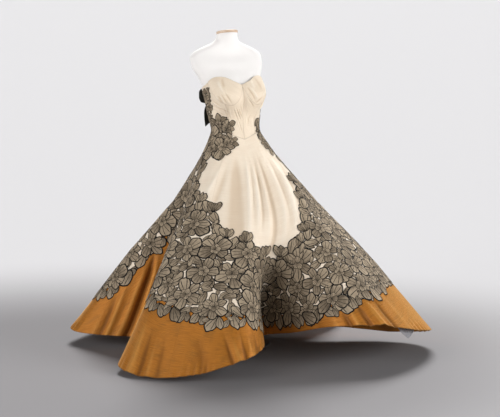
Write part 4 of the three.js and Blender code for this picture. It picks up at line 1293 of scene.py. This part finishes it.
for side, sign in SIDES.items():
    crush = CRUSH["deep"] * np.sin(v * CRUSH["waves"]) * np.exp(-np.minimum(s, 6 - s)) * np.sign(3 - s)
    loop = np.stack(
        [
            sign * curve(LOOP, "x", s),
            BOW["y"] + curve(LOOP, "y", s) + crush,
            BOW["z"] + curve(LOOP, "z", s) + v * curve(LOOP, "wide", s),
        ],
        -1,
    )
    add_cloth(
        f"bow_velvet_loop_{side}", loop, -VELVET_THICK / 2, VELVET_THICK / 2, np.array((sign, 0, 0)),
        velvet, "velvet", f"bow_loop_{side}",
    )
    lean = np.radians(curve(TAIL, "turn", tail_s))
    across = tail_v * curve(TAIL, "wide", tail_s)
    fluting = FLUTING["deep"] * np.sin(tail_v * FLUTING["waves"]) * np.exp(-FLUTING["fade"] * tail_s)
    slant = TAIL_CUT * tail_v * ease(2, 3, tail_s)
    tail = np.stack(
        [
            sign * (curve(TAIL, "x", tail_s) + across * np.sin(lean)),
            BOW["y"] + curve(TAIL, "y", tail_s) + fluting,
            BOW["z"] + curve(TAIL, "z", tail_s) + across * np.cos(lean) - slant,
        ],
        -1,
    )
    add_cloth(
        f"bow_velvet_tail_{side}", tail, -VELVET_THICK / 2, VELVET_THICK / 2, np.array((0, 1, 0)),
        velvet, "velvet", f"bow_tail_{side}",
    )
lift, about = np.meshgrid(np.radians(np.linspace(-75, 75, 25)), np.radians(full_turn(48)), indexing="ij")
gather = 1 + GATHERS["deep"] * np.sin(GATHERS["count"] * about) * np.cos(lift)
knot_rings = np.stack(
    [
        BOW["wide"] * gather * np.cos(lift) * np.sin(about),
        BOW["y"] + BOW["knot_y"] - BOW["deep"] * gather * np.cos(lift) * np.cos(about),
        BOW["z"] + BOW["tall"] * np.sin(lift),
    ],
    -1,
)
knot_points, knot_faces = closed_rings(knot_rings)
knot = add_piece(
    "bow_velvet_knot", "bow_knot", "velvet", velvet,
    knot_points, knot_faces, {"cloth": knot_points}, sharp=80,
)


# The underskirt: a corner of its flounce of stiff grey net, which is gathered and see-through.
# It hangs below the raised hem at the wearer's left front.
FLOUNCE = {"from": 34, "point": 35, "to": 52, "top": 0.93, "low": 1.054, "share": 0.94}
FLOUNCE_RISE = {"before": 0.03, "after": 0.005}
NET_THICK = 1.2
TULLE_DARK, TULLE_PALE = (0.22, 0.22, 0.24), (0.42, 0.42, 0.45)
tulle = Finish("grey_net", Roughness=0.9, Specular_IOR_Level=0.2, Alpha=0.7)
across, down, _ = tulle.parts(tulle.woven("cloth"))
mesh_lines = ((across + down) * 2.1).sine().size().least(((across - down) * 2.1).sine().size())
tulle.wear(Base_Color=tulle.blend(mesh_lines.rise(0.1, 0.5), TULLE_DARK, TULLE_PALE))
phi = np.linspace(FLOUNCE["from"], FLOUNCE["to"], 70)[:, None]
off = phi - FLOUNCE["point"]
low = FLOUNCE["low"] - np.where(off < 0, -off * FLOUNCE_RISE["before"], off * FLOUNCE_RISE["after"])
u = FLOUNCE["top"] + (low - FLOUNCE["top"]) * np.linspace(0, 1, 24)[None, :]
flounce_grid = skirt_point(phi, u) * (FLOUNCE["share"], FLOUNCE["share"], 1)
add_cloth(
    "underskirt_net_flounce", flounce_grid, -NET_THICK, 0, polar(50, 1, 0),
    tulle, "net", "underskirt_flounce",
)
